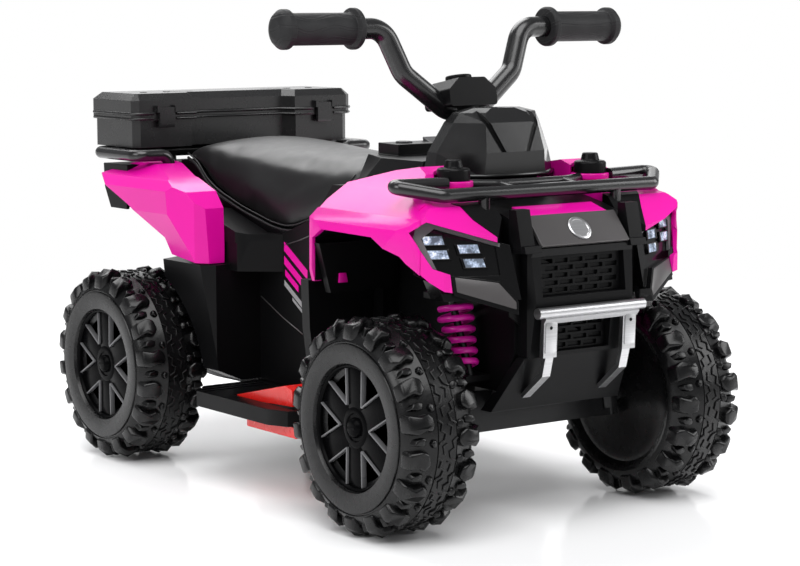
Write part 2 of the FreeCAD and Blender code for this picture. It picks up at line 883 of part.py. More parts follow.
def lamp_opening():
    """Room for the lamps between the fender's brow and its outer band."""
    rim = [
        (-6.4, 7.5), (12.5, -1.9), (110, 27.7), (110, 100), (36, 100), (35, 69), (33.6, 50), (16.5, 44),
    ]
    return faceted([lamp_ring(rim, -2), lamp_ring(rim, 60)])


def bezel_solid():
    """The lamp housing with the cheek below its lamps."""
    high = [(166, -40, 202), (82.2, -85, 180.7), (82.2, -63, 180.7), (166, -18, 202)]
    low = [(150, -68, 128), (80, -101, 128), (80, -79, 128), (150, -46, 128)]
    cheek = [(34.6, 51), (83, 58), (100, 78), (100, 91), (36.4, 70.5)]
    return faceted([high, low]).fuse(faceted([lamp_ring(cheek, -12), lamp_ring(cheek, 5)]))


def build_front_fenders():
    top = [
        (123, 133), (121, 232), (60, 247), (26, 252), (6, 246), (-6, 229), (-50, 218), (-62, 205),
        (-84, 189), (-86, 134),
    ]
    low = [(-75, 136), (-60, 147), (-36, 172), (6, 188), (94, 189), (118, 178), (119, 133)]
    across = [
        (75, 262), (110, 252), (134, 231), (158, 216), (181, 196), (187, 178), (172, 120), (75, 120),
    ]
    opened = [(35, 273), (110, 252), (134, 231), (158, 216), (181, 196), (187, 178), (152, 40), (35, 40)]
    plan = [
        (75, 112), (93, 112), (93, 124), (178, 124), (190, 60), (188, -15), (177, -42), (153, -72),
        (140, -75), (97, -84), (75, -62),
    ]
    skin = skin_from(top, low, across, opened, plan, val("wall"), 40)
    deck = val("rack_deck")
    knob = Vector(val("knob_x"), val("knob_y"), deck)
    collar_room = rod(knob, knob + Vector(0, 0, 60), val("collar_radius") + 0.2)
    for room in (lamp_opening(), bezel_solid(), collar_room, rack_foot(0.2), nacelle_solid(), dash_solid()):
        skin = skin.cut(room)
    left = moulded("front_fender_left", skin, front_frame)
    mirrored("front_fender_right", left)


# Front end: bezels and lamps, fascia, grilles, bumper, rack

def lamp_places():
    """The lamp face's own frame, and the four lens centres along and up that face."""
    corner = Vector(166, -40, 202)
    inboard = (Vector(80, -80, 202) - corner).normalize()
    fall = (Vector(80, -101, 128) - Vector(80, -80, 202)).normalize()
    outward = inboard.cross(fall).normalize()
    down = outward.cross(inboard).normalize()
    if down.z > 0:
        down = down * -1
    if outward.y > 0:
        outward = outward * -1
    return corner, inboard, down, outward, [(17, 16), (21, 30), (52, 25), (57, 39)]


def build_headlights():
    corner, along, down, outward, centres = lamp_places()
    half_w = val("lens_width") / 2
    half_h = val("lens_height") / 2
    depth = 7.0
    bezel = bezel_solid()

    def panel(u0, u1, v0, v1, back, front, lean=0.0):
        spots = [(u0, v0), (u1, v0), (u1 + lean, v1), (u0 + lean, v1)]
        points = [corner + along * u + down * v + outward * -back for u, v in spots]
        face = Part.Face(Part.makePolygon(points + points[:1]))
        return face.extrude(outward * (back + front))

    recess = panel(4, 78, 4, 52, 3.0, 20, 6)
    bezel = bezel.cut(recess)
    lenses = []
    for u, v in centres:
        lens = panel(u - half_w, u + half_w, v - half_h, v + half_h, depth, -0.8, 3)
        bezel = bezel.cut(panel(u - half_w, u + half_w, v - half_h, v + half_h, depth, 5, 3))
        lenses.append(lens)
    left = moulded("headlight_bezel_left", bezel, front_frame)
    mirrored("headlight_bezel_right", left)
    every = [piece for lens in lenses for piece in both_sides(lens)]
    moulded("headlight_lenses", Part.makeCompound(every), front_frame)


def build_fascia():
    wide = val("nose_half")
    floor = val("nose_floor")
    outline = [(-80, 202), (-80, floor + 38), (-97, floor + 38), (-103, 124), (-98, 168), (-101, 176)]
    body = slab(outline, "x", -wide + 4, wide - 4)
    plan = [(-wide, -80), (-wide, -88), (-60, -108), (60, -108), (wide, -88), (wide, -80)]
    body = body.common(slab(plan, "z", 0, 220))
    pillar = slab([(-80.0, 215), (-80, 176), (-100, 176), (-91, 215)], "x", 62, 79.5)
    lip = slab([(-80, 172), (-80, 180), (-104, 180), (-106, 173)], "x", 58, 79)
    body = body.fuse(both_sides(pillar) + both_sides(lip))
    upper = block(-54, 54, -110, -90, 128, 168)
    lower = block(-36, 36, -110, -88, floor + 42, 104)
    plate_room = slab([(-80.0, 206), (-101, 177), (-120, 177), (-120, 206)], "x", -57.5, 57.5)
    body = body.cut(upper).cut(lower).cut(plate_room)
    moulded("front_fascia", body.removeSplitter(), front_frame)

    grille_body("grille_upper", 53.7, 128.3, 167.7, -90, 5, 5)
    grille_body("grille_lower", 35.7, floor + 42.3, 103.7, -88, 4, 3)

    plate = [(-80.3, 202), (-80.3, 208), (-105, 179), (-101.3, 177)]
    prism("hood_plate", "YZ_Plane", plate, -57, 114, front_frame)
    strip = [(-50, 211.2), (-78, 203), (-78, 206), (-50, 214.2)]
    prism("hood_trim", "YZ_Plane", strip, -52, 104, front_frame)

    chin_top = floor + 37.7
    top_ring = [(x, y, chin_top) for x, y in ((-70, -94), (70, -94), (70, -81), (-70, -81))]
    low_ring = [(-84, -58, 10), (84, -58, 10), (84, -40, 10), (-84, -40, 10)]
    chin = faceted([top_ring, low_ring])
    prow = slab([(-58, floor), (-80, floor + 40), (-80, 90), (0, 90), (0, floor)], "x", -100, 100)
    inner = faceted([
        [(-66, -90, floor + 34), (66, -90, floor + 34), (66, -81, floor + 34), (-66, -81, floor + 34)],
        [(-80, -54, 14), (80, -54, 14), (80, -44, 14), (-80, -44, 14)],
    ])
    moulded("skid_plate", chin.cut(prow).cut(inner), front_frame)


def grille_body(label, half, low, high, back, rows, columns):
    """A grille insert with staggered brick-shaped slots."""
    body = new_body(label)
    sheet_face = sketch_on(body, "XZ_Plane", -back)
    add_outline(sheet_face, rectangle(-half, half, low, high))
    pad(body, sheet_face, 3)
    pitch_x = 2 * half / (columns + 0.5)
    pitch_z = (high - low) / (rows + 0.4)
    slots = sketch_on(body, "XZ_Plane", -back)
    for row in range(rows):
        z = low + pitch_z * (row + 0.35)
        for column in range(columns):
            x = -half + pitch_x * (column + 0.15 + 0.35 * (row % 2))
            add_outline(slots, rectangle(x, x + pitch_x * 0.84, z, z + pitch_z * 0.6))
    pocket(body, slots, 8, reverse=True)
    return place(body, front_frame)


def build_bumper():
    radius = val("bumper_radius")
    half = val("bumper_half")
    bar = rod(Vector(-half, -112, 114), Vector(half, -112, 114), radius)
    strip = slab([(-112, 112), (-116, 108), (-112, 103), (-108, 105)], "x", -half + 8, half - 8)
    width = val("strap_width")
    upright_profile = [(-107, 108), (-112, 108), (-110.5, 69), (-104.5, 69)]
    upright = slab(upright_profile, "x", 43, 43 + width)
    strap_profile = [(-104.5, 72), (-109, 72), (-103, 49), (-72, 24), (-69.4, 27.5), (-98, 52)]
    strap = slab(strap_profile, "x", 45, 45 + 0.6 * width)
    lower = upright.fuse(strap).removeSplitter()
    uprights = Part.makeCompound(both_sides(lower))
    strip = strip.cut(uprights)
    moulded("bumper_bar", bar.fuse(strip).removeSplitter(), front_frame)
    seat = rod(Vector(-half, -112, 114), Vector(half, -112, 114), radius)
    pair = [piece.cut(seat) for piece in both_sides(lower)]
    moulded("bumper_uprights", Part.makeCompound(pair), front_frame)


def rack_foot(grow):
    """The rack's left foot, sunk in the fender."""
    spot = Vector(val("rack_foot_x"), val("rack_front"), val("rack_height") - val("rack_fall"))
    return rod(spot, spot - Vector(0, 0, 21), val("rack_radius") - 1 + grow)


def build_front_rack():
    half = val("rack_half")
    z = val("rack_height")
    radius = val("rack_radius")
    knob_x = val("knob_x")
    knob_y = val("knob_y")
    front = val("rack_front")
    dip = z - val("rack_fall")
    side = [(knob_x + 16, -14, z), (half - 12, -4, z), (half, -12, z), (half - 35, front, dip)]
    route = side + [(-x, y, zz) for x, y, zz in reversed(side)]
    loop = bent_tube(route, radius, 8)
    near = [(knob_x - 18, -8, z - 2), (knob_x - 46, -18, z - 3)]
    cross = bent_tube(near + [(-x, y, zz) for x, y, zz in reversed(near)], radius - 2, 20)
    rack = loop.fuse(cross).fuse(both_sides(rack_foot(0.0)))
    for x in (4 - knob_x / 2, knob_x / 2 - 4):
        rack = rack.fuse(rod(Vector(x, front, dip), Vector(x, -17, z - 3), radius - 2.5))

    collar = val("collar_radius")
    knob = val("knob_radius")
    deck = val("rack_deck")
    band_section = [
        (0, deck), (collar, deck), (collar, deck + 5), (collar - 2, deck + 6), (collar, deck + 7),
        (collar, deck + 13), (0, deck + 13),
    ]
    cap_section = [
        (0, deck + 13), (knob, deck + 13), (knob, deck + 24), (knob - 2, deck + 26), (10, deck + 26),
        (8, deck + 34), (0, deck + 34),
    ]
    caps = []
    bands = []
    for x in (-knob_x, knob_x):
        for section, group in ((band_section, bands), (cap_section, caps)):
            points = [Vector(x + r, knob_y, h) for r, h in section]
            face = Part.Face(Part.makePolygon(points + points[:1]))
            group.append(face.revolve(Vector(x, knob_y, 0), Vector(0, 0, 1), 360))
        foot = Vector(x, knob_y, deck)
        rack = rack.cut(rod(foot, foot + Vector(0, 0, 13), collar + 0.2))
        rack = rack.cut(rod(foot, foot + Vector(0, 0, 40), knob + 0.2))
    moulded("front_rack", rack, front_frame)
    moulded("rack_collars", Part.makeCompound(bands), front_frame)
    moulded("rack_knobs", Part.makeCompound(caps), front_frame)


def spring_path(foot, head, low_radius, high_radius, turns):
    """Quarter-turn arcs that climb a cone from foot to head."""
    axis = head - foot
    height = axis.Length
    turn = Rotation(Vector(0, 0, 1), axis)
    steps = int(turns * 8)

    def spot(part):
        radius = low_radius + (high_radius - low_radius) * part
        angle = 2 * math.pi * turns * part
        local = Vector(radius * math.cos(angle), radius * math.sin(angle), height * part)
        return foot + turn.multVec(local)

    points = [spot(i / steps) for i in range(steps + 1)]
    arcs = [Part.Arc(points[i], points[i + 1], points[i + 2]).toShape() for i in range(0, steps, 2)]
    return Part.Wire(arcs)


def build_springs():
    wire = val("spring_wire")
    head = Vector(96, -12, 121 - wire / 2 - 4.6)
    foot = Vector(90, -30, 46 + wire / 2 + 1.2)
    turns = val("spring_turns")
    path = spring_path(foot, head, val("spring_bottom_radius"), val("spring_top_radius"), turns)
    start = path.Edges[0].valueAt(path.Edges[0].FirstParameter)
    way = path.Edges[0].tangentAt(path.Edges[0].FirstParameter)
    ring = Part.Wire([Part.Circle(start, way, wire / 2).toShape()])
    coil = path.makePipeShell([ring], True)
    moulded("front_springs", Part.makeCompound(both_sides(coil)), front_frame)
    samples = path.discretize(int(turns * 40))
    skip = 20
    gap = min(a.distanceToPoint(b) for i, a in enumerate(samples) for b in samples[i + skip:])
    print("spring gap to itself: %.2f mm" % (gap - wire))
    way = (head - foot).normalize()
    stem = rod(foot - way * 12, head + way * 12, 4)
    stem = stem.common(block(60, 130, -60, 40, 46, 121))
    moulded("shock_rods", Part.makeCompound(both_sides(stem)), front_frame)


# Top: column visor, dash and its switches

def nacelle_rings():
    """The visor's base, waist, shoulder, crown and ridge outlines."""
    halves = [
        (238, [(40, 9), (80, 44), (80, 62)]),
        (264, [(38, 8), (74, 46), (73, 62)]),
        (294, [(34, 15), (57, 40), (55, 58)]),
        (304, [(26, 25), (50, 38.5), (47, 53)]),
        (308.5, [(15, 30), (30, 40), (28, 50)]),
    ]
    rings = []
    for z, half in halves:
        right = [(-x, y, z) for x, y in half]
        rings.append([(x, y, z) for x, y in half] + right[::-1])
    return rings


def nacelle_solid():
    rings = nacelle_rings()
    tiers = [faceted(list(pair)) for pair in zip(rings, rings[1:])]
    return tiers[0].fuse(tiers[1:])


def build_nacelle():
    rings = nacelle_rings()
    base = rings[0]
    crown = rings[3]
    inner = faceted([
        [(x * 0.93, y * 0.8 + 13, 234) for x, y, z in base],
        [(x * 0.9, y * 0.75 + 17, 297) for x, y, z in crown],
    ])
    spans = [(12, 19, 11.4, 264), (27, 35, 19.5, 293), (33, 43, 37, 309)]
    cuts = [[(a, -4, z), (b, -4, z), (b, back, z), (a, back, z)] for a, b, back, z in spans]
    slash = faceted(cuts[:2]).fuse(faceted(cuts[1:])).removeSplitter()
    visor = nacelle_solid().removeSplitter().cut(inner)
    for groove in both_sides(slash):
        visor = visor.cut(groove)
    moulded("nacelle", visor, front_frame)


def dash_rings():
    """The dash's lower and upper outlines."""
    deck = [(-88, 64), (88, 64), (96, 150), (60, 206), (-60, 206), (-96, 150)]
    top = [(-74, 68), (74, 68), (76, 140), (50, 200), (-50, 200), (-76, 140)]
    return deck, top


def dash_solid():
    deck, top = dash_rings()
    return faceted([[(x, y, 226) for x, y in deck], [(x, y, 254) for x, y in top]])


def build_dash():
    deck, top = dash_rings()
    room = faceted([
        [(x * 0.94, y * 0.97 + 3.6, 223) for x, y in deck],
        [(x * 0.92, y * 0.97 + 3.6, 250) for x, y in top],
    ])
    console = slab([(-46, 150), (46, 150), (40, 196), (-40, 196)], "z", 240, 266)
    cover = dash_solid().cut(room).fuse(console)
    offset = val("column_offset")
    passage = rod(Vector(0, offset, 150), Vector(0, offset, 450), val("column_radius") + 8)
    passage.Placement = Placement(Vector(), steer_turn)
    gap = val("joint_gap")
    knob = val("button_radius")
    switch_y = 173
    well = rod(Vector(-22, switch_y, 254), Vector(-22, switch_y, 268), knob + gap)
    slot = block(12 - gap, 32 + gap, switch_y - 14.4, switch_y + 14.4, 254, 270)
    cover = cover.cut([passage, well, slot])
    moulded("dash_panel", cover.removeSplitter(), front_frame)
    button = rod(Vector(-22, switch_y, 258), Vector(-22, switch_y, 268), knob)
    moulded("power_button", button, front_frame)
    rocker = slab([
        (switch_y - 13, 268), (switch_y, 266), (switch_y + 13, 271), (switch_y + 11, 260), (switch_y, 256.5),
        (switch_y - 11, 259),
    ], "x", 12, 32)
    moulded("direction_switch", rocker, front_frame)


# Rear: rack, tail panel, storage box with lid and latches

def build_rear_rack():
    half = val("rear_rack_half")
    z = val("rear_rack_height")
    radius = val("rack_radius")
    spot = val("rack_leg_x")
    side = [(spot, -4, z - 13), (spot, -4, z), (half, -4, z), (half, 92, z)]
    route = side + [(-x, y, zz) for x, y, zz in reversed(side)]
    loop = bent_tube(route, radius, 12)
    cross = rod(Vector(-half, 62, z), Vector(half, 62, z), radius)
    rack = loop.fuse(cross)
    for x in (-80, 80):
        rack = rack.fuse(rod(Vector(x, 62, z), Vector(x, 62, 228.3), radius - 1))
    moulded("rear_rack", rack.removeSplitter(), rear_frame)

    outline = [(19, 228), (76, 228), (74, 200), (60, 176), (22, 176), (19, 196)]
    tail = slab(outline, "x", -165, 165)
    cave = slab([(15, 224), (71, 224), (69, 201), (57, 180), (26, 170), (15, 170)], "x", -161, 161)
    tail = tail.cut(cave)
    rear_skin = doc.getObject("rear_fender_left").Shape.copy()
    rear_skin.Placement = Placement()
    tail = tail.cut(both_sides(rear_skin))
    moulded("tail_panel", max(tail.Solids, key=lambda s: s.Volume), rear_frame)


def box_plan(grow):
    """Plan of the box: two forward lobes with a recessed middle, grown outwards by a wall."""
    half = dim("box_half") + grow
    back = 23 + dim("box_length") + grow
    face = 23 - grow
    lobe = dim("lobe_half") - grow
    step = face + dim("lobe_depth")
    return [
        (-half, back), (-half, face + 6), (-half + 8, face), (-lobe - 8, face), (-lobe, step),
        (lobe, step), (lobe + 8, face), (half - 8, face), (half, face + 6), (half, back),
    ]


def build_box():
    floor = dim("rear_rack_height") + dim("rack_radius")
    wall = dim("box_wall")
    depth = dim("box_depth")
    lip = dim("rim_lip")
    tub = new_body("box_tub")
    base = sketch_on(tub, "XY_Plane", floor)
    add_outline(base, box_plan(0.0))
    pad(tub, base, depth)
    rim = sketch_on(tub, "XY_Plane", floor + depth - 8)
    add_outline(rim, box_plan(lip))
    pad(tub, rim, 8)
    axis_y = 23 + dim("box_length") + lip + dim("hinge_radius") + 0.5
    axis_z = floor + depth + dim("lid_gap")
    knuckle = dim("hinge_radius")
    ear_outline = [
        (axis_y - 8, axis_z - 8), (axis_y + knuckle, axis_z - 3), (axis_y + knuckle, axis_z + 2),
        (axis_y + 1, axis_z + 3), (axis_y - 1.2, axis_z + 3), (axis_y - knuckle, axis_z + 0.5),
        (axis_y - knuckle, axis_z - 0.6), (axis_y - 8, axis_z - 0.6),
    ]
    for start in (dim("hinge_half") + 1, -(dim("hinge_half") + 9)):
        ear = sketch_on(tub, "YZ_Plane", start)
        add_outline(ear, ear_outline)
        pad(tub, ear, 8)
    cave = sketch_on(tub, "XY_Plane", floor + depth)
    add_outline(cave, box_plan(-wall))
    pocket(tub, cave, depth - wall)
    bore = sketch_on(tub, "YZ_Plane", -(dim("hinge_half") + 10))
    add_circle(bore, axis_y, axis_z, dim("hinge_pin") + dim("running_fit"))
    pocket(tub, bore, dim("hinge_half") * 2 + 20, reverse=True)
    place(tub, rear_frame)

    lid = new_body("box_lid")
    low = floor + depth + dim("lid_gap")
    tall = dim("lid_height")
    cap = sketch_on(lid, "XY_Plane", low)
    add_outline(cap, box_plan(lip))
    bevel = dim("lid_bevel")
    pad(lid, cap, tall - bevel)
    crest = sketch_on(lid, "XY_Plane", low + tall - bevel)
    add_outline(crest, box_plan(lip))
    slope = pad(lid, crest, bevel)
    slope.TaperAngle = -45
    web = sketch_on(lid, "YZ_Plane", -dim("hinge_half"))
    add_outline(web, rectangle(axis_y - 6, axis_y, axis_z + 0.4, axis_z + 3))
    pad(lid, web, dim("hinge_half") * 2)
    barrel = sketch_on(lid, "YZ_Plane", -dim("hinge_half"))
    add_circle(barrel, axis_y, axis_z, dim("hinge_radius"))
    pad(lid, barrel, dim("hinge_half") * 2)
    pin = sketch_on(lid, "YZ_Plane", -dim("hinge_half") - 9)
    add_circle(pin, axis_y, axis_z, dim("hinge_pin"))
    pad(lid, pin, dim("hinge_half") * 2 + 18)
    hollow = sketch_on(lid, "XY_Plane", low)
    add_outline(hollow, box_plan(-7.0))
    pocket(lid, hollow, tall - wall, reverse=True)
    ear_y = 23 - lip
    ear_z = low + 5
    for side in (-1, 1):
        for shift in (-1, 1):
            start = side * dim("latch_x") + shift * (dim("latch_width") / 2 + 0.4)
            ear = sketch_on(lid, "YZ_Plane", start if shift > 0 else start - 3)
            add_outline(ear, rectangle(ear_y - 6, ear_y + 4, ear_z - 4, ear_z + 4))
            pad(lid, ear, 3)
    holes = sketch_on(lid, "YZ_Plane", -dim("box_half") - 20)
    add_circle(holes, ear_y - 3, ear_z, 1.5 + dim("running_fit"))
    pocket(lid, holes, dim("box_half") * 2 + 40, reverse=True)
    marks = sketch_on(lid, "XY_Plane", low + tall)
    for x in (-70, 70):
        add_outline(marks, rectangle(x - 22, x + 22, 60, 66))
    pocket(lid, marks, 1.2)
    place(lid, rear_frame)

    for name, side in (("latch_left", 1), ("latch_right", -1)):
        latch = new_body(name)
        half = dim("latch_width") / 2
        hang = dim("latch_height")
        plate = sketch_on(latch, "YZ_Plane", side * dim("latch_x") - half)
        add_outline(plate, [
            (ear_y - 5, ear_z + 1.8), (ear_y - 1.2, ear_z + 1.8), (ear_y - 0.8, ear_z - 3),
            (ear_y - 0.8, ear_z - hang), (ear_y - 4, ear_z - hang), (ear_y - 5, ear_z - hang + 4),
        ])
        pad(latch, plate, dim("latch_width"))
        pin = sketch_on(latch, "YZ_Plane", side * dim("latch_x") - half - 3)
        add_circle(pin, ear_y - 3, ear_z, 1.5)
        pad(latch, pin, dim("latch_width") + 6)
        place(latch, rear_frame)


# Footboards, pedal, drive and battery

def build_footboards():
    top = dim("body_floor") - 1
    low = top - dim("board_thick")
    inner = dim("body_half")
    outer = dim("board_outer")
    front = dim("board_setback") - dim("wheelbase") / 2
    rear = dim("wheelbase") * dim("board_share")
    hinge = dim("pedal_setback") - dim("wheelbase") / 2
    for name, side in (("footboard_left", 1), ("footboard_right", -1)):
        body = new_body(name)
        plan = sketch_on(body, "XY_Plane", low)
        add_outline(plan, [
            (side * (inner - 20), front), (side * (outer - 34), front), (side * (outer - 10), front + 12),
            (side * outer, front + 36), (side * outer, rear - 24), (side * (outer - 24), rear),
            (side * (inner - 20), rear),
        ])
        pad(body, plan, dim("board_thick"))
        ridge = sketch_on(body, "XY_Plane", top - 3)
        span = sorted([side * (inner + 6), side * (outer - 4)], key=float)
        add_outline(ridge, rectangle(span[0], span[1], rear - 36, rear - 30))
        groove = pocket(body, ridge, 3, reverse=True)
        linear(body, [groove], "Y_Axis", 24, 3)
        if side < 0:
            hole = sketch_on(body, "XY_Plane", low - 1)
            centre = dim("pedal_x")
            wide = dim("pedal_half") + dim("pedal_gap")
            add_outline(hole, rectangle(-centre - wide, -centre + wide, hinge - 110, hinge + 10))
            pocket(body, hole, dim("board_thick") + 2, reverse=True)
            seat = sketch_on(body, "YZ_Plane", -(dim("pedal_x") + dim("pedal_half") + 8))
            add_circle(seat, hinge, top - 7.5, dim("pedal_pin") + dim("running_fit"))
            pocket(body, seat, dim("pedal_half") * 2 + 16, reverse=True)
        place(body, ground_frame)

    pedal = new_body("accelerator_pedal")
    profile = sketch_on(pedal, "YZ_Plane", -(dim("pedal_x") + dim("pedal_half")))
    add_outline(profile, [
        (hinge + 5, top - 11), (hinge + 6, top + 0.5), (hinge - 48, top + 13), (hinge - 90, top + 23),
        (hinge - 104, top + 19), (hinge - 104, top + 2), (hinge - 18, top - 2), (hinge - 6, top - 11.5),
    ])
    pad(pedal, profile, dim("pedal_half") * 2)
    pin = sketch_on(pedal, "YZ_Plane", -(dim("pedal_x") + dim("pedal_half") + 7))
    add_circle(pin, hinge, top - 7.5, dim("pedal_pin"))
    pad(pedal, pin, dim("pedal_half") * 2 + 14)

    housing = new_body("pedal_housing")
    tray = sketch_on(housing, "XY_Plane", low - 13)
    centre = dim("pedal_x")
    wide = dim("pedal_half") + dim("pedal_gap") + 4
    add_outline(tray, rectangle(-centre - wide, -centre + wide, hinge - 119, hinge - 22))
    pad(housing, tray, 13)
    room = sketch_on(housing, "XY_Plane", low)
    add_outline(room, rectangle(-centre - wide + 3, -centre + wide - 3, hinge - 116, hinge - 25))
    pocket(housing, room, 10)


def build_drive():
    lift = val("tyre_radius")
    axle = val("axle_radius")
    fit = val("running_fit")
    inner = val("wheel_outer") - val("wheel_width")
    hub_end = val("wheel_outer") - 22
    shaft = rod(Vector(-hub_end - 8, 0, 0), Vector(hub_end + 8, 0, 0), axle)
    for side in (-1, 1):
        shaft = shaft.fuse([
            rod(Vector(side * 70.5, 0, 0), Vector(side * (inner + 2.5), 0, 0), 10),
            rod(Vector(side * (hub_end + 0.5), 0, 0), Vector(side * (hub_end + 7), 0, 0), 10),
        ])
    moulded("rear_axle", shaft.removeSplitter(), rear_frame)

    drop = val("body_floor") - lift
    plate_outline = [
        (-150, drop), (-150, drop - 14), (-20, -26), (22, -24), (30, 10), (16, 112), (0, 118),
        (-120, drop + 20),
    ]
    plates = [slab(plate_outline, "x", low, low + 8) for low in (-70, 62)]
    bridge = slab([(-150, drop), (-150, drop - 14), (-60, drop - 15), (-60, drop)], "x", -70, 70)
    frame = plates[0].fuse([plates[1], bridge])
    middle = slab(side_outline(), "x", -val("body_half"), val("body_half"))
    middle.translate(Vector(0, -val("wheelbase") / 2, -lift))
    frame = frame.cut(middle)
    frame = frame.cut(rod(Vector(-100, 0, 0), Vector(100, 0, 0), axle + fit))
    moulded("rear_subframe", frame.removeSplitter(), rear_frame)

    box = slab([(-34, -22), (24, -22), (24, 26), (12, 40), (-26, 40), (-34, 20)], "x", 14, 61.7)
    box = box.cut(rod(Vector(0, 0, 0), Vector(80, 0, 0), axle + fit))
    moulded("gearbox", box, rear_frame)
    motor_r = val("motor_radius")
    can = rod(Vector(13.7, -12, 18), Vector(-46, -12, 18), motor_r)
    can = can.fuse(rod(Vector(-46, -12, 18), Vector(-50, -12, 18), motor_r * 0.45))
    can = can.cut(rod(Vector(-100, 0, 0), Vector(100, 0, 0), axle + 1))
    moulded("drive_motor", can, rear_frame)

    floor = dim("body_floor") + dim("wall") + 0.3
    length = dim("battery_length")
    width = dim("battery_width")
    battery = new_body("battery")
    base = sketch_on(battery, "XY_Plane", floor)
    add_outline(base, rectangle(-width / 2, width / 2, -30, length - 30))
    pad(battery, base, dim("battery_height"))
    posts = sketch_on(battery, "XY_Plane", floor)
    for x in (-18, 18):
        add_circle(posts, x, 4, 4)
    pad(battery, posts, dim("battery_height") + 6)

    half = val("body_half")
    z = lift + 30
    radius = val("socket_radius")
    y = val("wheelbase") / 2 - val("socket_setback")
    socket = rod(Vector(half - 16, y, z), Vector(half + 2, y, z), radius)
    socket = socket.fuse(rod(Vector(half, y, z), Vector(half + 2, y, z), radius + 4))
    socket = socket.cut(rod(Vector(half - 10, y, z), Vector(half + 3, y, z), val("socket_bore")))
    moulded("charge_socket", socket.removeSplitter(), ground_frame)


build_wheels()
build_steering()
build_handlebar()
build_tub()
build_seat()
build_rear_fenders()
build_front_fenders()
build_headlights()
build_fascia()
build_bumper()
build_front_rack()
build_springs()
build_nacelle()
build_dash()
build_rear_rack()
build_box()
build_footboards()
build_drive()

doc.recompute()
faults = [item.Label for item in doc.Objects if "Invalid" in item.State or "Error" in item.State]
faults += [item.Label for item in subparts if item.Shape.isNull() or not item.Shape.isValid()]
if faults:
    raise RuntimeError("failed: " + ", ".join(faults))

os.makedirs("parts", exist_ok=True)
for item in subparts:
    item.Shape.exportStep("parts/%s.step" % item.Label)
print("%d sub-parts" % len(subparts))
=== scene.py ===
import json
import math

import bpy
from bpy.props import FloatProperty, FloatVectorProperty, IntProperty, PointerProperty
from bpy.types import Operator, Panel, PropertyGroup
from mathutils import Matrix, Vector


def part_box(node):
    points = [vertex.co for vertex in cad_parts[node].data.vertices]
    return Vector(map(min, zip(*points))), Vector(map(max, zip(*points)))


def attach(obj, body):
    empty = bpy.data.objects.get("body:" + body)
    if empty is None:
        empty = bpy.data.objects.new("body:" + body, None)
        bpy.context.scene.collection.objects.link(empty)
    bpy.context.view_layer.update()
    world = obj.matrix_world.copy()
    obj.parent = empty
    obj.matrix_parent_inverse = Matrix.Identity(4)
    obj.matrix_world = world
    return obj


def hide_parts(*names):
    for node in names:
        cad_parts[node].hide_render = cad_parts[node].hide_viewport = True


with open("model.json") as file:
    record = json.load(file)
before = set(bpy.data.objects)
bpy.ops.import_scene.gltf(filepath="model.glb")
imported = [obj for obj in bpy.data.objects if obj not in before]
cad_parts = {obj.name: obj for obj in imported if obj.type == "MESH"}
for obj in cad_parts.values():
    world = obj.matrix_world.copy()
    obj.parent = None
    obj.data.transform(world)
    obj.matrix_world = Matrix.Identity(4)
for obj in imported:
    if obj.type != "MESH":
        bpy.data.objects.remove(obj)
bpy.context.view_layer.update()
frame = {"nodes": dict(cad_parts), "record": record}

bl_info = {
    "name": "Quad bike looks",
    "version": (1, 0, 0),
    "blender": (4, 5, 0),
    "location": "View3D > Sidebar > Quad",
    "description": "Dresses the packed quad bike: tyres, spoked covers, fenders, saddle, racks and studio",
    "category": "Object",
}

NODES = frame["nodes"]
BODY_OF = {node: body for body, nodes in frame["record"]["behaviour"]["bodies"].items() for node in nodes}
FRONT_AXLE = Vector((0, -0.2535, 0.11))
REAR_AXLE = Vector((0, 0.2535, 0.11))
WHEEL_X = 0.174
TREAD_RADIUS = 0.105
MM = 0.001
MIRROR = Matrix.Diagonal((-1, 1, 1, 1))


# Sizes and colours

def colour(name, words, default):
    return FloatVectorProperty(
        name=name, description=words, subtype="COLOR", size=3, min=0, max=1, default=default,
    )


def length(name, words, default):
    return FloatProperty(
        name=name, description=words, subtype="DISTANCE", unit="LENGTH", min=0, default=default,
    )


class QuadFinish(PropertyGroup):
    """Colours of the mouldings and metal."""

    fender: colour("Fender", "Pink of the fenders and trim", (0.74, 0.003, 0.33))
    spring: colour("Spring", "Paint of the coil springs", (0.62, 0.010, 0.32))
    black: colour("Black", "Satin black of the body mouldings", (0.0032, 0.0032, 0.0036))
    gloss: colour("Gloss black", "Shiny black of the lamp surrounds", (0.002, 0.002, 0.0023))
    tyre: colour("Tyre", "Moulded black of the tyres", (0.0028, 0.0028, 0.0031))
    saddle: colour("Saddle", "Skin of the saddle", (0.0045, 0.0045, 0.005))
    plate: colour("Plate", "Dark grey of the hood plate", (0.060, 0.056, 0.057))
    silver: colour("Silver", "Bumper and its uprights", (0.56, 0.56, 0.57))
    red: colour("Red", "Pedal and its housing", (0.75, 0.012, 0.008))
    lamp: colour("Lamp", "Lit lamp cells", (0.62, 0.76, 1.0))
    stripe: colour("Stripe", "Grey of the side stripes", (0.30, 0.30, 0.31))


class QuadShape(PropertyGroup):
    """Sizes of the modelled details."""

    lug_pairs: IntProperty(
        name="Lugs", description="Shoulder lugs round each side of a tyre", min=8, max=30, default=18,
    )
    lug_edge: length("Lug edge", "Rounding of the tread lugs", 0.0022)
    panel_edge: length("Panel edge", "Rounding of the body mouldings", 0.0018)
    fender_edge: length("Fender edge", "Rounding of the fenders' facets", 0.0022)
    piping: length("Piping", "Radius of the saddle's sewn edge", 0.0017)
    pad_voxel: length("Pad voxel", "Mesh size of the saddle before it is inflated", 0.005)
    pad_cap: length("Pad cap", "Most that the saddle may swell", 0.003)


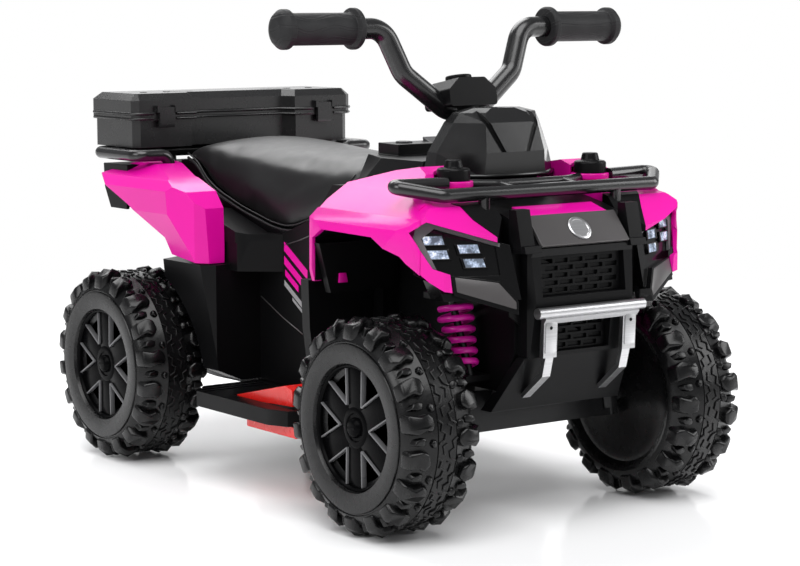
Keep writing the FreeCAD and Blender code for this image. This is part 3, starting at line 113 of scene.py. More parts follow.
class QuadStage(PropertyGroup):
    """Light and camera."""

    sun: FloatProperty(name="Sun", description="Strength of the soft overhead light", min=0, default=2.4)
    fill: FloatProperty(name="Fill", description="Strength of the room's own light", min=0, default=0.30)
    lens: FloatProperty(
        name="Lens", description="Focal length of the camera", unit="CAMERA", min=10, default=104.06,
    )


def finish():
    return bpy.context.scene.quad_finish


def shape():
    return bpy.context.scene.quad_shape


# Modelling helpers

def clear_selection():
    if bpy.context.mode != "OBJECT":
        bpy.ops.object.mode_set(mode="OBJECT")
    bpy.ops.object.select_all(action="DESELECT")


def take(obj):
    clear_selection()
    obj.select_set(True)
    bpy.context.view_layer.objects.active = obj
    return obj


def edit_all(obj):
    take(obj)
    bpy.ops.object.mode_set(mode="EDIT")
    bpy.ops.mesh.select_all(action="SELECT")


def leave_edit():
    bpy.ops.object.mode_set(mode="OBJECT")


def outline(label, points, fill="NGON"):
    """A circle primitive whose corners are moved onto a closed outline."""
    clear_selection()
    bpy.ops.mesh.primitive_circle_add(vertices=len(points), fill_type=fill)
    obj = bpy.context.active_object
    obj.name = label
    for vertex, place in zip(obj.data.vertices, points):
        vertex.co = place
    return obj


def close_skin(obj):
    """Merge doubles and point the faces outwards."""
    edit_all(obj)
    bpy.ops.mesh.remove_doubles(threshold=1e-6)
    bpy.ops.mesh.normals_make_consistent(inside=False)
    leave_edit()
    return obj


def extruded(label, points, way):
    obj = outline(label, points)
    edit_all(obj)
    bpy.ops.mesh.extrude_region_move(TRANSFORM_OT_translate={"value": way})
    leave_edit()
    return close_skin(obj)


def side_plate(label, x, plan, thick):
    """An outline on an upright plane that faces sideways, extruded along X."""
    return extruded(label, [Vector((x, y * MM, z * MM)) for y, z in plan], (thick, 0, 0))


def turned(label, section, centre, axis, steps):
    """A closed section spun once round an axis."""
    obj = outline(label, section, fill="NOTHING")
    edit_all(obj)
    bpy.ops.mesh.spin(steps=steps, angle=2 * math.pi, center=centre, axis=axis)
    leave_edit()
    return close_skin(obj)


def wheel_ring(label, section, steps):
    """A section, given across and out from the axle, spun round a wheel at the origin."""
    return turned(label, [Vector((x * MM, 0, r * MM)) for x, r in section], (0, 0, 0), (1, 0, 0), steps)


def smooth(obj, degrees=38):
    take(obj)
    bpy.ops.object.shade_smooth_by_angle(angle=math.radians(degrees))
    return obj


def piped(label, points, radius, straight=False):
    """A round bead along a line, made a mesh."""
    data = bpy.data.curves.new(label, "CURVE")
    data.dimensions = "3D"
    data.bevel_depth = radius
    data.bevel_resolution = 3
    data.resolution_u = 8
    data.use_fill_caps = True
    line = data.splines.new("BEZIER")
    line.bezier_points.add(len(points) - 1)
    for spot, place in zip(line.bezier_points, points):
        spot.co = place
        spot.handle_left_type = "VECTOR" if straight else "AUTO"
        spot.handle_right_type = "VECTOR" if straight else "AUTO"
    obj = bpy.data.objects.new(label, data)
    bpy.context.collection.objects.link(obj)
    take(obj)
    bpy.ops.object.convert(target="MESH")
    return smooth(bpy.context.active_object, 60)


def modify(obj, kind, **values):
    take(obj)
    modifier = obj.modifiers.new(kind.lower(), kind)
    for name, value in values.items():
        setattr(modifier, name, value)
    bpy.ops.object.modifier_apply(modifier=modifier.name)
    return obj


def rounded(obj, width, segments=2, degrees=25):
    limit = math.radians(degrees)
    modify(obj, "BEVEL", width=width, segments=segments, limit_method="ANGLE", angle_limit=limit)
    return smooth(obj)


def copied(obj, label, matrix):
    """A copy with its own mesh, moved in the mesh."""
    twin = obj.copy()
    twin.data = obj.data.copy()
    twin.name = label
    bpy.context.collection.objects.link(twin)
    twin.data.transform(matrix)
    if matrix.determinant() < 0:
        close_skin(twin)
    return twin


def joined(label, pieces):
    clear_selection()
    for piece in pieces:
        piece.select_set(True)
    bpy.context.view_layer.objects.active = pieces[0]
    bpy.ops.object.join()
    pieces[0].name = label
    return pieces[0]


def nose_point(x, y, z):
    """A place given from the front axle, in millimetres."""
    return FRONT_AXLE + Vector((x, y, z)) * MM


def nose_block(label, spots, way, edge):
    """An outline given from the front axle, extruded, with its edges eased."""
    block = extruded(label, [nose_point(*spot) for spot in spots], Vector(way) * MM)
    return rounded(block, edge * MM)


def trimmed(obj, cuts):
    """Cut a shell by planes and keep what lies behind each of them."""
    for place, way in cuts:
        edit_all(obj)
        bpy.ops.mesh.bisect(plane_co=place, plane_no=way, clear_outer=True)
        leave_edit()
    return obj


def node_copy(node, label):
    """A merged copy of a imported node, its flat faces dissolved into whole facets."""
    obj = bpy.data.objects.new(label, NODES[node].data.copy())
    bpy.context.collection.objects.link(obj)
    obj.data.materials.clear()
    take(obj)
    bpy.ops.mesh.customdata_custom_splitnormals_clear()
    edit_all(obj)
    bpy.ops.mesh.remove_doubles(threshold=1e-5)
    bpy.ops.mesh.dissolve_limited(angle_limit=math.radians(0.6))
    leave_edit()
    return obj


def dress(obj, material, body, *nodes):
    obj.data.materials.clear()
    obj.data.materials.append(material)
    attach(obj, body)
    if nodes:
        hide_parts(*nodes)
    return obj


def dress_pair(label, pieces, material):
    """Join pieces of the left side with their mirror images, on the chassis."""
    every = []
    for piece in pieces:
        every += [piece, copied(piece, label, MIRROR)]
    return dress(joined(label, every), material, "chassis")


def softened(node, material, width=None, segments=2, degrees=25):
    """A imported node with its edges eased, standing for the node."""
    obj = node_copy(node, node + "_skin")
    if width is None:
        width = shape().panel_edge
    rounded(obj, width, segments, degrees)
    modify(obj, "WEIGHTED_NORMAL", keep_sharp=True)
    return dress(obj, material, BODY_OF[node], node)


def dress_node(node, material):
    data = NODES[node].data
    data.materials.clear()
    data.materials.append(material)


# Finishes: each reads Object coordinates

class Weave:
    """A node material under construction."""

    def __init__(self, name):
        self.material = bpy.data.materials.new(name)
        self.material.use_nodes = True
        self.tree = self.material.node_tree
        self.shader = self.tree.nodes["Principled BSDF"]
        self.place = self.add("ShaderNodeTexCoord").outputs["Object"]

    def add(self, kind, **values):
        node = self.tree.nodes.new(kind)
        for name, value in values.items():
            setattr(node, name, value)
        return node

    def link(self, out, into):
        self.tree.links.new(out, into)

    def feed(self, name, out):
        """Link an output into one of the shader's own inputs."""
        self.link(out, self.shader.inputs[name])

    def constant(self, **values):
        for name, value in values.items():
            self.shader.inputs[name.replace("_", " ")].default_value = value

    def mapped(self, scale):
        mapping = self.add("ShaderNodeMapping")
        mapping.inputs["Scale"].default_value = scale
        self.link(self.place, mapping.inputs["Vector"])
        return mapping.outputs["Vector"]

    def noise(self, scale, detail=3.0, rough=0.5, vector=None):
        node = self.add("ShaderNodeTexNoise")
        node.inputs["Scale"].default_value = scale
        node.inputs["Detail"].default_value = detail
        node.inputs["Roughness"].default_value = rough
        self.link(vector or self.place, node.inputs["Vector"])
        return node.outputs["Fac"]

    def ramp(self, value, stops):
        node = self.add("ShaderNodeValToRGB")
        ramp = node.color_ramp
        while len(ramp.elements) < len(stops):
            ramp.elements.new(0.5)
        for element, (spot, tone) in zip(ramp.elements, stops):
            element.position = spot
            element.color = (*tone, 1)
        self.link(value, node.inputs["Fac"])
        return node.outputs["Color"]

    def spread(self, value, low, high):
        node = self.add("ShaderNodeMapRange")
        node.inputs["To Min"].default_value = low
        node.inputs["To Max"].default_value = high
        self.link(value, node.inputs["Value"])
        return node.outputs["Result"]

    def bump(self, height, strength, distance, below=None):
        node = self.add("ShaderNodeBump")
        node.inputs["Strength"].default_value = strength
        node.inputs["Distance"].default_value = distance
        self.link(height, node.inputs["Height"])
        if below:
            self.link(below, node.inputs["Normal"])
        return node.outputs["Normal"]


def shade(tone, factor):
    return tuple(min(1.0, c * factor) for c in tone)


def moulded_plastic(name, tone, rough, spread, grain=0.06, scale=900.0, coat=0.0, drift=0.12, shine=0.4):
    """Injection-moulded plastic: a slow drift of tone, uneven gloss and a fine grain."""
    weave = Weave(name)
    drifted = weave.ramp(weave.noise(7.0), [(0.3, shade(tone, 1 - drift)), (0.7, shade(tone, 1 + drift))])
    weave.feed("Base Color", drifted)
    gloss = weave.spread(weave.noise(38.0, 4.0), rough - spread, rough + spread)
    weave.feed("Roughness", gloss)
    waves = weave.bump(weave.noise(26.0, 2.0), 0.05, 0.002)
    weave.feed("Normal", weave.bump(weave.noise(scale, 2.0), grain, 0.0004, waves))
    weave.constant(Coat_Weight=coat, Coat_Roughness=0.12, Specular_IOR_Level=shine)
    return weave.material


def tyre_plastic(name, tone):
    weave = Weave(name)
    dusty = weave.ramp(weave.noise(22.0, 5.0), [(0.35, shade(tone, 0.75)), (0.75, shade(tone, 1.5))])
    weave.feed("Base Color", dusty)
    weave.feed("Roughness", weave.spread(weave.noise(60.0, 4.0), 0.20, 0.34))
    lumps = weave.bump(weave.noise(140.0, 3.0), 0.12, 0.0012)
    weave.feed("Normal", weave.bump(weave.noise(1400.0, 2.0), 0.12, 0.0003, lumps))
    weave.constant(Specular_IOR_Level=0.34)
    return weave.material


def saddle_skin(name, tone):
    """Soft skin with a pebbled grain."""
    weave = Weave(name)
    cells = weave.add("ShaderNodeTexVoronoi", feature="DISTANCE_TO_EDGE")
    cells.inputs["Scale"].default_value = 620.0
    weave.link(weave.place, cells.inputs["Vector"])
    drifted = weave.ramp(weave.noise(11.0), [(0.3, shade(tone, 0.8)), (0.7, shade(tone, 1.25))])
    weave.feed("Base Color", drifted)
    weave.feed("Roughness", weave.spread(weave.noise(90.0, 4.0), 0.33, 0.47))
    pores = weave.bump(weave.noise(2200.0, 2.0), 0.08, 0.0003)
    weave.feed("Normal", weave.bump(cells.outputs["Distance"], 0.10, 0.0004, pores))
    weave.constant(Sheen_Weight=0.03, Sheen_Roughness=0.4, Specular_IOR_Level=0.5)
    return weave.material


def brushed_metal(name, tone, rough, along):
    """Bright metal with fine drawn lines along one axis."""
    weave = Weave(name)
    lines = weave.noise(1.0, 3.0, 0.6, weave.mapped(along))
    toned = weave.ramp(lines, [(0.3, shade(tone, 0.86)), (0.7, shade(tone, 1.06))])
    weave.feed("Base Color", toned)
    weave.feed("Roughness", weave.spread(lines, rough - 0.07, rough + 0.08))
    weave.feed("Normal", weave.bump(lines, 0.05, 0.0002))
    weave.constant(Metallic=1.0)
    return weave.material


def painted_tube(name, tone, rough, coat, shine):
    weave = Weave(name)
    drifted = weave.ramp(weave.noise(30.0), [(0.3, shade(tone, 0.85)), (0.7, shade(tone, 1.2))])
    weave.feed("Base Color", drifted)
    gloss = weave.spread(weave.noise(120.0, 4.0), rough - 0.03, rough + 0.03)
    weave.feed("Roughness", gloss)
    weave.feed("Normal", weave.bump(weave.noise(300.0, 2.0), 0.008, 0.0004))
    weave.constant(Coat_Weight=coat, Coat_Roughness=0.2, Specular_IOR_Level=shine)
    return weave.material


def grip_rubber(name, tone):
    """Soft rubber with wavy moulded lines round the bar."""
    weave = Weave(name)
    wave = weave.add("ShaderNodeTexWave", wave_type="BANDS", bands_direction="Z")
    wave.inputs["Scale"].default_value = 26.0
    wave.inputs["Distortion"].default_value = 5.0
    wave.inputs["Detail"].default_value = 0.0
    wave.inputs["Detail Scale"].default_value = 1.0
    weave.link(weave.mapped((0.9, 1, 1)), wave.inputs["Vector"])
    lines = weave.ramp(wave.outputs["Fac"], [(0.80, (0, 0, 0)), (0.88, (1, 1, 1)), (0.96, (0, 0, 0))])
    drifted = weave.ramp(weave.noise(60.0), [(0.3, shade(tone, 0.8)), (0.7, shade(tone, 1.2))])
    weave.feed("Base Color", drifted)
    weave.feed("Roughness", weave.spread(weave.noise(300.0), 0.48, 0.62))
    fine = weave.bump(weave.noise(1500.0), 0.1, 0.0003)
    weave.feed("Normal", weave.bump(lines, 0.5, 0.0008, fine))
    weave.constant(Specular_IOR_Level=0.25)
    return weave.material


def lamp_cells(name, tone):
    """Lit lamp: a bright reflector with blue depths behind small cells."""
    weave = Weave(name)
    cells = weave.add("ShaderNodeTexVoronoi", feature="F1")
    cells.inputs["Scale"].default_value = 480.0
    weave.link(weave.place, cells.inputs["Vector"])
    deep = weave.add("ShaderNodeMath", operation="MULTIPLY_ADD")
    deep.inputs[1].default_value = 0.22
    weave.link(cells.outputs["Distance"], deep.inputs[0])
    weave.link(weave.noise(95.0, 2.0), deep.inputs[2])
    stops = [(0.36, (0.95, 0.97, 1.0)), (0.52, shade(tone, 0.55)), (0.70, shade(tone, 0.14))]
    glow = weave.ramp(deep.outputs["Value"], stops)
    weave.feed("Base Color", glow)
    weave.feed("Emission Color", glow)
    weave.feed("Roughness", weave.spread(weave.noise(300.0), 0.08, 0.2))
    weave.constant(Emission_Strength=0.5, Coat_Weight=0.6, Coat_Roughness=0.05)
    return weave.material


FINISHES = {}


def make_finishes():
    tones = finish()
    FINISHES.update(
        fender=moulded_plastic(
            "fender_pink", tones.fender, rough=0.30, spread=0.04, grain=0.02, scale=700.0,
            coat=0.16, drift=0.05, shine=0.26,
        ),
        black=moulded_plastic("satin_black", tones.black, rough=0.36, spread=0.06, grain=0.08, shine=0.13),
        gloss=moulded_plastic(
            "gloss_black", tones.gloss, rough=0.16, spread=0.05, grain=0.02, scale=700.0,
            coat=0.2, shine=0.25,
        ),
        plate=moulded_plastic("hood_grey", tones.plate, rough=0.33, spread=0.05, grain=0.08, shine=0.5),
        spoke=moulded_plastic(
            "spoke_black", tones.gloss, rough=0.22, spread=0.05, grain=0.02, scale=700.0, shine=0.03,
        ),
        red=moulded_plastic(
            "pedal_red", tones.red, rough=0.27, spread=0.05, grain=0.03, scale=700.0,
            coat=0.3, drift=0.06,
        ),
        stripe=moulded_plastic("stripe_grey", tones.stripe, rough=0.35, spread=0.05, grain=0.03),
        ridge=moulded_plastic("cover_ridge", (0.13, 0.13, 0.135), rough=0.28, spread=0.06, grain=0.04),
        housing=moulded_plastic("housing_grey", (0.05, 0.05, 0.053), rough=0.45, spread=0.06, grain=0.10),
        tyre=tyre_plastic("tyre_black", tones.tyre),
        saddle=saddle_skin("saddle_black", tones.saddle),
        # Piping grey: partly the beads' own tone, partly a painted highlight along the saddle's lower edge
        piping=moulded_plastic("saddle_piping", (0.02, 0.02, 0.021), rough=0.36, spread=0.05, grain=0.08),
        silver=brushed_metal("bumper_silver", tones.silver, rough=0.30, along=(4, 900, 900)),
        steel=brushed_metal("plain_steel", (0.40, 0.40, 0.41), rough=0.36, along=(900, 20, 900)),
        tube=painted_tube("tube_black", (0.005, 0.005, 0.0055), rough=0.26, coat=0.3, shine=0.5),
        spring=painted_tube("spring_magenta", tones.spring, rough=0.30, coat=0.12, shine=0.3),
        visor=moulded_plastic("visor_black", tones.black, rough=0.24, spread=0.05, grain=0.04, shine=0.62),
        # The box's black, lighter than the body's satin black: the plastic's own black with painted sheen
        # added to its tone
        case=moulded_plastic(
            "case_black", (0.009, 0.009, 0.0095), rough=0.27, spread=0.04, grain=0.04, shine=0.55,
        ),
        grip=grip_rubber("grip_rubber", (0.016, 0.016, 0.017)),
        lamp=lamp_cells("lamp_cells", tones.lamp),
    )


# Tyres

def on_tyre(x, t, r):
    """A point of a tyre standing at the origin: across, along the tread and out from the axle."""
    turn = t / TREAD_RADIUS
    return Vector((x, r * math.sin(turn), r * math.cos(turn)))


def crown(x):
    """Tread height across the tyre: a low middle band, tall shoulders, falling to the side."""
    across = abs(x) / MM
    rise = min(1.0, max(0.0, (across - 11) / 12))
    fall = max(0.0, across - 26)
    return (106.2 + 3.4 * rise - 0.028 * fall * fall) * MM


def tread_block(label, plan, foot, edge, shrink, tall):
    """One lug: its plan is extruded outwards and drawn in; its top is level or follows the crown."""
    block = extruded(label, [on_tyre(x * MM, t * MM, foot) for x, t in plan], (0, 0, 0.004))
    half = len(plan)
    middle_x = sum(x for x, t in plan) / half
    middle_t = sum(t for x, t in plan) / half
    for vertex in block.data.vertices[half:]:
        x, t = plan[vertex.index - half]
        x = middle_x + (x - middle_x) * shrink
        t = middle_t + (t - middle_t) * shrink
        vertex.co = on_tyre(x * MM, t * MM, tall or crown(x * MM))
    close_skin(block)
    return rounded(block, edge, segments=3, degrees=20)


def ridge_plan(line, width):
    """The outline of a thin ridge drawn along a line."""
    near = []
    far = []
    for i, (x, t) in enumerate(line):
        before = line[max(i - 1, 0)]
        after = line[min(i + 1, len(line) - 1)]
        way = Vector((after[0] - before[0], after[1] - before[1])).normalized()
        near.append((x - way.y * width / 2, t + way.x * width / 2))
        far.append((x + way.y * width / 2, t - way.x * width / 2))
    return near + far[::-1]


def tread_sources(edge):
    """The lugs and ridges of one pitch of the tread, on the outer half of the tyre."""
    long_lug = [
        (14, -6), (22, -11.5), (32, -8.5), (43.8, -12.5), (44, 8), (36, 12.5), (26, 8), (17, 10.5),
        (11.8, 3),
    ]
    short_lug = [(20, -8), (29, -11.5), (43.6, -8.5), (43.9, 11.5), (33, 8), (26, 11.5), (17.5, 5)]
    nub = [(12, -4.5), (18.5, -6), (21, 0), (17.5, 5.5), (11, 4.5)]
    web = [(21, -4), (28, -6), (36, -4), (39, 3), (31, 5.5), (22, 4)]
    hook = [(11.5, -13), (6, -9.5), (8, -2.5), (2.5, 0.5), (4.5, 7), (10.5, 10)]
    rung = [(0.4, -8), (5.5, -5.5), (3.5, 3)]
    # Each kind: name, plan, foot radius, share of the edge, taper, top radius or 0 for the crown, places
    kinds = [
        ("lug_long", long_lug, 0.088, 1.3, 0.86, 0.0, (0.0,)),
        ("lug_short", short_lug, 0.089, 1.3, 0.86, 0.0, (0.5,)),
        ("lug_web", web, 0.092, 0.6, 0.72, 0.1036, (0.25, 0.76)),
        ("lug_nub", nub, 0.098, 0.8, 0.7, 0.0, (0.28, 0.80)),
        ("tread_hook", ridge_plan(hook, 1.7), 0.103, 0.2, 1.0, 0.1072, (0.15, 0.65)),
        ("tread_rung", ridge_plan(rung, 1.5), 0.103, 0.2, 1.0, 0.1070, (0.40, 0.90)),
    ]
    sources = []
    for label, plan, foot, ease, shrink, tall, parts in kinds:
        for part in parts:
            sources.append((tread_block(label, plan, foot, edge * ease, shrink, tall), part))
    return sources


def build_tyre():
    """A tyre at the origin, its outer side towards +X."""
    outer = [
        (30, 9), (30, 55), (33, 62), (38.5, 63.2), (41.8, 64.6), (43.0, 72), (43.5, 82.5), (43.2, 84.2),
        (41.4, 84.9), (41.4, 86.0), (42.6, 86.9), (41.4, 90), (37.5, 95), (30, 99.2), (20, 102.4),
        (14.5, 104.4), (11.9, 105.4), (11.6, 104.7), (10.8, 104.7), (10.5, 105.6),
    ]
    inner = [
        (-10.5, 105.6), (-10.8, 104.7), (-11.6, 104.7), (-11.9, 105.4), (-14.5, 104.4), (-20, 102.4),
        (-30, 99.2), (-37.5, 95), (-41.4, 90), (-43.2, 84), (-42, 80), (-37, 74), (-36, 66), (-38, 60),
        (-39, 30), (-41, 26), (-41, 9),
    ]
    pieces = [smooth(wheel_ring("tyre_carcass", outer + inner, 108), 30)]
    count = shape().lug_pairs // 2
    sources = tread_sources(shape().lug_edge)
    step = 2 * math.pi / count
    for side in (0, 1):
        place = MIRROR if side else Matrix.Identity(4)
        for i in range(count):
            for source, part in sources:
                turn = Matrix.Rotation(-step * (i + part + 0.25 * side), 4, "X")
                pieces.append(copied(source, "lug", turn @ place))
    for source, part in sources:
        bpy.data.objects.remove(source)
    return joined("tyre", pieces)


def wheel_places():
    """Each wheel's end and side, and its placing from a left-hand wheel at the origin."""
    out = Vector((WHEEL_X, 0, 0))
    turn = Matrix.Rotation(math.pi, 4, "Z")
    for end, axle in (("front", FRONT_AXLE), ("rear", REAR_AXLE)):
        yield end, "left", Matrix.Translation(axle + out)
        yield end, "right", Matrix.Translation(axle - out) @ turn


class QUAD_OT_tyres(Operator):
    """Model the lugged tyre and set it on the four wheels"""

    bl_idname = "quad.tyres"
    bl_label = "Tyres"

    def execute(self, context):
        tyre = build_tyre()
        for end, side, place in wheel_places():
            node = "%s_wheel_%s" % (end, side)
            dress(copied(tyre, "tyre_%s_%s" % (end, side), place), FINISHES["tyre"], BODY_OF[node], node)
        bpy.data.objects.remove(tyre)
        return {"FINISHED"}


# Spoked covers

def spoke_frame(turn):
    """One V of two raised ridges, its point near the hub, round a window."""
    apex = 25.0
    rim = 60.0
    spread = math.radians(17)
    wide = 0.95
    face = 0.0368
    left = Vector((-rim * math.sin(spread), rim * math.cos(spread)))
    right = Vector((-left.x, left.y))
    tip = Vector((0, apex))
    pieces = []
    for end in (left, right):
        way = (end - tip).normalized()
        across = Vector((way.y, -way.x)) * wide
        corners = [tip - across, tip + across, end + across, end - across]
        pieces.append(rounded(side_plate("ridge", face, corners, -0.006), 0.0006))
    frame_piece = joined("spoke_frame", pieces)
    frame_piece.data.transform(Matrix.Rotation(turn, 4, "X"))
    return frame_piece


def web_blade(turn):
    """One broad black spoke."""
    plan = [(-11.6, 13), (-12.4, 60.5), (12.4, 60.5), (11.6, 13)]
    face = 0.0348
    blade = rounded(side_plate("web_blade", face, plan, -0.006), 0.0010)
    blade.data.transform(Matrix.Rotation(turn, 4, "X"))
    return blade


def build_cover():
    """A cover at the origin, its outer side towards +X: the black webs and rim, and the grey ridges."""
    step = math.radians(60)
    rim = [(29.5, 60.5), (29.5, 63.4), (37.6, 63.4), (38.4, 62.4), (38.0, 60.8), (36.0, 59.6)]
    ring = wheel_ring("cover_rim", rim, 72)
    hub = [
        (28.5, 0.2), (28.5, 21), (34.8, 20.5), (35.6, 19), (35.6, 14.5), (34.2, 13.5), (34.2, 10.5),
        (37.6, 9.6), (39.4, 8), (40, 6), (40, 0.2),
    ]
    middle = wheel_ring("cover_hub", hub, 48)
    back = [(28.6, 17), (28.6, 62.5), (30.0, 62.5), (30.0, 17)]
    dish = wheel_ring("cover_back", back, 48)
    dark = [smooth(ring), smooth(middle), smooth(dish)]
    dark += [web_blade(step * i) for i in range(6)]
    slit = [(-6, 1), (6, 1), (6, -1), (-6, -1)]
    hub_face = 0.0405
    dark.append(side_plate("hub_slot", hub_face, slit, -0.002))
    ridges = [spoke_frame(step * (i + 0.5)) for i in range(6)]
    return joined("cover_web", dark), joined("cover_ridges", ridges)


class QUAD_OT_covers(Operator):
    """Model the six-spoked wheel cover with its grey ridges, four times"""

    bl_idname = "quad.covers"
    bl_label = "Wheel covers"

    def execute(self, context):
        web, ridges = build_cover()
        for end, side, place in wheel_places():
            node = "%s_cover_%s" % (end, side)
            body = BODY_OF[node]
            dress(copied(web, "cover_%s_%s" % (end, side), place), FINISHES["spoke"], body, node)
            dress(copied(ridges, "ridges_%s_%s" % (end, side), place), FINISHES["ridge"], body)
        bpy.data.objects.remove(web)
        bpy.data.objects.remove(ridges)
        return {"FINISHED"}


# Fenders and body panels

def add_arch_liners():
    """A black lining under each front arch."""
    arch = [(-36, 172), (6, 188), (94, 189), (118, 178), (119, 133)]
    under = [(117.6, 133), (116.6, 177.2), (93.6, 187.6), (6.3, 186.6), (-35, 170.6)]
    liner = extruded("liner", [nose_point(96, y, z) for y, z in arch + under], (0.080, 0, 0))
    dress_pair("arch_liners", [smooth(liner, 20)], FINISHES["black"])


def add_fender_bands():
    """A raised band along the outer edge of each front fender."""
    band = node_copy("front_fender_left", "band")
    trimmed(band, [(nose_point(168, 0, 0), Vector((-1, 0, 0)))])
    modify(band, "SOLIDIFY", thickness=0.0013, offset=1.0)
    rounded(band, 0.0005)
    dress_pair("fender_bands", [band], FINISHES["fender"])


def add_fender_brows():
    """A raised strip along the crest of each front fender."""
    brow = node_copy("front_fender_left", "brow")
    across = Vector((0.918, 0.397, 0))
    crest = nose_point(147, -30, 0)
    half = 0.007
    trimmed(brow, [
        (crest + across * half, across),
        (crest - across * half, -across),
        (nose_point(0, -40, 0), Vector((0, -1, 0))),
        (nose_point(0, 14, 0), Vector((0, 1, 0))),
        (nose_point(0, 0, 205), Vector((0, 0, -1))),
    ])
    modify(brow, "SOLIDIFY", thickness=0.0012, offset=1.0)
    dress_pair("fender_brows", [smooth(brow, 30)], FINISHES["fender"])


class QUAD_OT_fenders(Operator):
    """Ease the four fenders and the pink trim, and add the front arches' liners, bands and brows"""

    bl_idname = "quad.fenders"
    bl_label = "Fenders"

    def execute(self, context):
        edge = shape().fender_edge
        for side in ("left", "right"):
            for end in ("front", "rear"):
                softened("%s_fender_%s" % (end, side), FINISHES["fender"], edge, segments=3, degrees=12)
        softened("hood_trim", FINISHES["fender"], 0.0008)
        add_arch_liners()
        add_fender_bands()
        add_fender_brows()
        return {"FINISHED"}


class QUAD_OT_panels(Operator):
    """Ease the edges of the black body mouldings and run the visor's flange"""

    bl_idname = "quad.panels"
    bl_label = "Body panels"

    def execute(self, context):
        black = FINISHES["black"]
        softened("body_tub", black, 0.0025, segments=3)
        softened("nacelle", FINISHES["visor"], 0.0034, segments=3, degrees=8)
        softened("dash_panel", black, 0.0060, segments=4)
        softened("front_fascia", black, 0.0011)
        softened("skid_plate", black)
        softened("tail_panel", black)
        softened("hood_plate", FINISHES["plate"], 0.0010)
        softened("grille_upper", black, 0.0006)
        softened("grille_lower", black, 0.0006)
        softened("power_button", FINISHES["housing"], 0.0010)
        softened("direction_switch", FINISHES["housing"], 0.0012)
        collar = [(-81, 62), (-81, 44), (-40.5, 8), (40.5, 8), (81, 44), (81, 62)]
        spots = [nose_point(x, y, 240.2) for x, y in collar]
        flange = piped("visor_flange", spots, 0.0023, straight=True)
        dress(flange, FINISHES["visor"], "chassis")
        return {"FINISHED"}


# The left lamp's face, in millimetres from the front axle: its upper outer corner and its three ways
LAMP_CORNER = Vector((166, -40, 202))
LAMP_ALONG = Vector((-0.9067, -0.4217, 0.0))
LAMP_DOWN = Vector((0.1051, -0.2260, -0.9684))
LAMP_OUT = Vector((0.4084, -0.8781, 0.2492))
LENS_CENTRES = ((17, 16), (21, 30), (52, 25), (57, 39))
LENS_HALF = (12, 5)
LENS_LEAN = 3
FRAME_OVERLAP = 0.6
FRAME_OPENING = (0.80, 0.76)


def lamp_plate(label, spots, out, thick, edge=0.0):
    """A flat plate on the left lamp's face: along, down and out from its upper outer corner."""
    origin = LAMP_CORNER + LAMP_OUT * out
    points = [nose_point(*(origin + LAMP_ALONG * u + LAMP_DOWN * v)) for u, v in spots]
    plate = extruded(label, points, LAMP_OUT * thick * MM)
    if edge:
        rounded(plate, edge * MM)
    return plate


def lens_frame(u, v):
    """Four bars round one lens, over its edges."""
    wide = LENS_HALF[0] + FRAME_OVERLAP
    tall = LENS_HALF[1] + FRAME_OVERLAP
    low = u + LENS_LEAN
    ring = [(u - wide, v - tall), (u + wide, v - tall), (low + wide, v + tall), (low - wide, v + tall)]
    middle = u + LENS_LEAN / 2
    inner = [(middle + (a - middle) * FRAME_OPENING[0], v + (b - v) * FRAME_OPENING[1]) for a, b in ring]
    deep = 3.2
    bars = []
    for i in range(4):
        j = (i + 1) % 4
        bars.append(lamp_plate("lens_bar", [ring[i], ring[j], inner[j], inner[i]], -deep, deep, edge=0.3))
    return bars


class QUAD_OT_lamps(Operator):
    """Dress the lamp surrounds and the lit cells, and add rims, backs, frames, cheeks and nose fills"""

    bl_idname = "quad.lamps"
    bl_label = "Lamps"

    def execute(self, context):
        for side in ("left", "right"):
            softened("headlight_bezel_" + side, FINISHES["gloss"], 0.0005)
        softened("headlight_lenses", FINISHES["lamp"], 0.0006)
        edge = [
            (-6.2, 7.6), (12.5, -1.6), (85, 20.4), (84.5, 23.8), (20, 4.4), (6.5, 14.5), (20.4, 45.2),
            (16.4, 43.8),
        ]
        rim = lamp_plate("rim", edge, out=-2.4, thick=3.0)
        dress_pair("lamp_rims", [rim], FINISHES["ridge"])
        cover = [(-14, 9), (12.5, -4), (92, 21), (100, 70), (36, 74), (24, 62), (-1, 49)]
        back = lamp_plate("back", cover, out=-6.5, thick=1.6)
        dress_pair("lamp_backs", [back], FINISHES["gloss"])
        bars = [bar for u, v in LENS_CENTRES for bar in lens_frame(u, v)]
        dress_pair("lens_frames", bars, FINISHES["gloss"])
        panel = [(37, 53.6), (80.5, 60), (97, 79.4), (97, 86.5), (38.4, 68)]
        cheek = lamp_plate("cheek", panel, out=4.4, thick=1.4, edge=0.5)
        dress_pair("lamp_cheeks", [cheek], FINISHES["plate"])
        slot = [(66, -84, 98), (82, -84, 110), (83, -84, 178), (66, -84, 178)]
        fill = nose_block("fill", slot, (0, 2, 0), edge=0.3)
        dress_pair("nose_fills", [fill], FINISHES["black"])
        return {"FINISHED"}


class QUAD_OT_front_metal(Operator):
    """Dress the silver bumper, its uprights, the springs and their rods"""

    bl_idname = "quad.front_metal"
    bl_label = "Bumper and springs"

    def execute(self, context):
        softened("bumper_bar", FINISHES["silver"], 0.0006)
        softened("bumper_uprights", FINISHES["silver"], 0.0008)
        softened("front_springs", FINISHES["spring"], 0.0002, segments=1, degrees=60)
        dress_node("shock_rods", FINISHES["tube"])
        return {"FINISHED"}


# Handlebar, racks and knobs

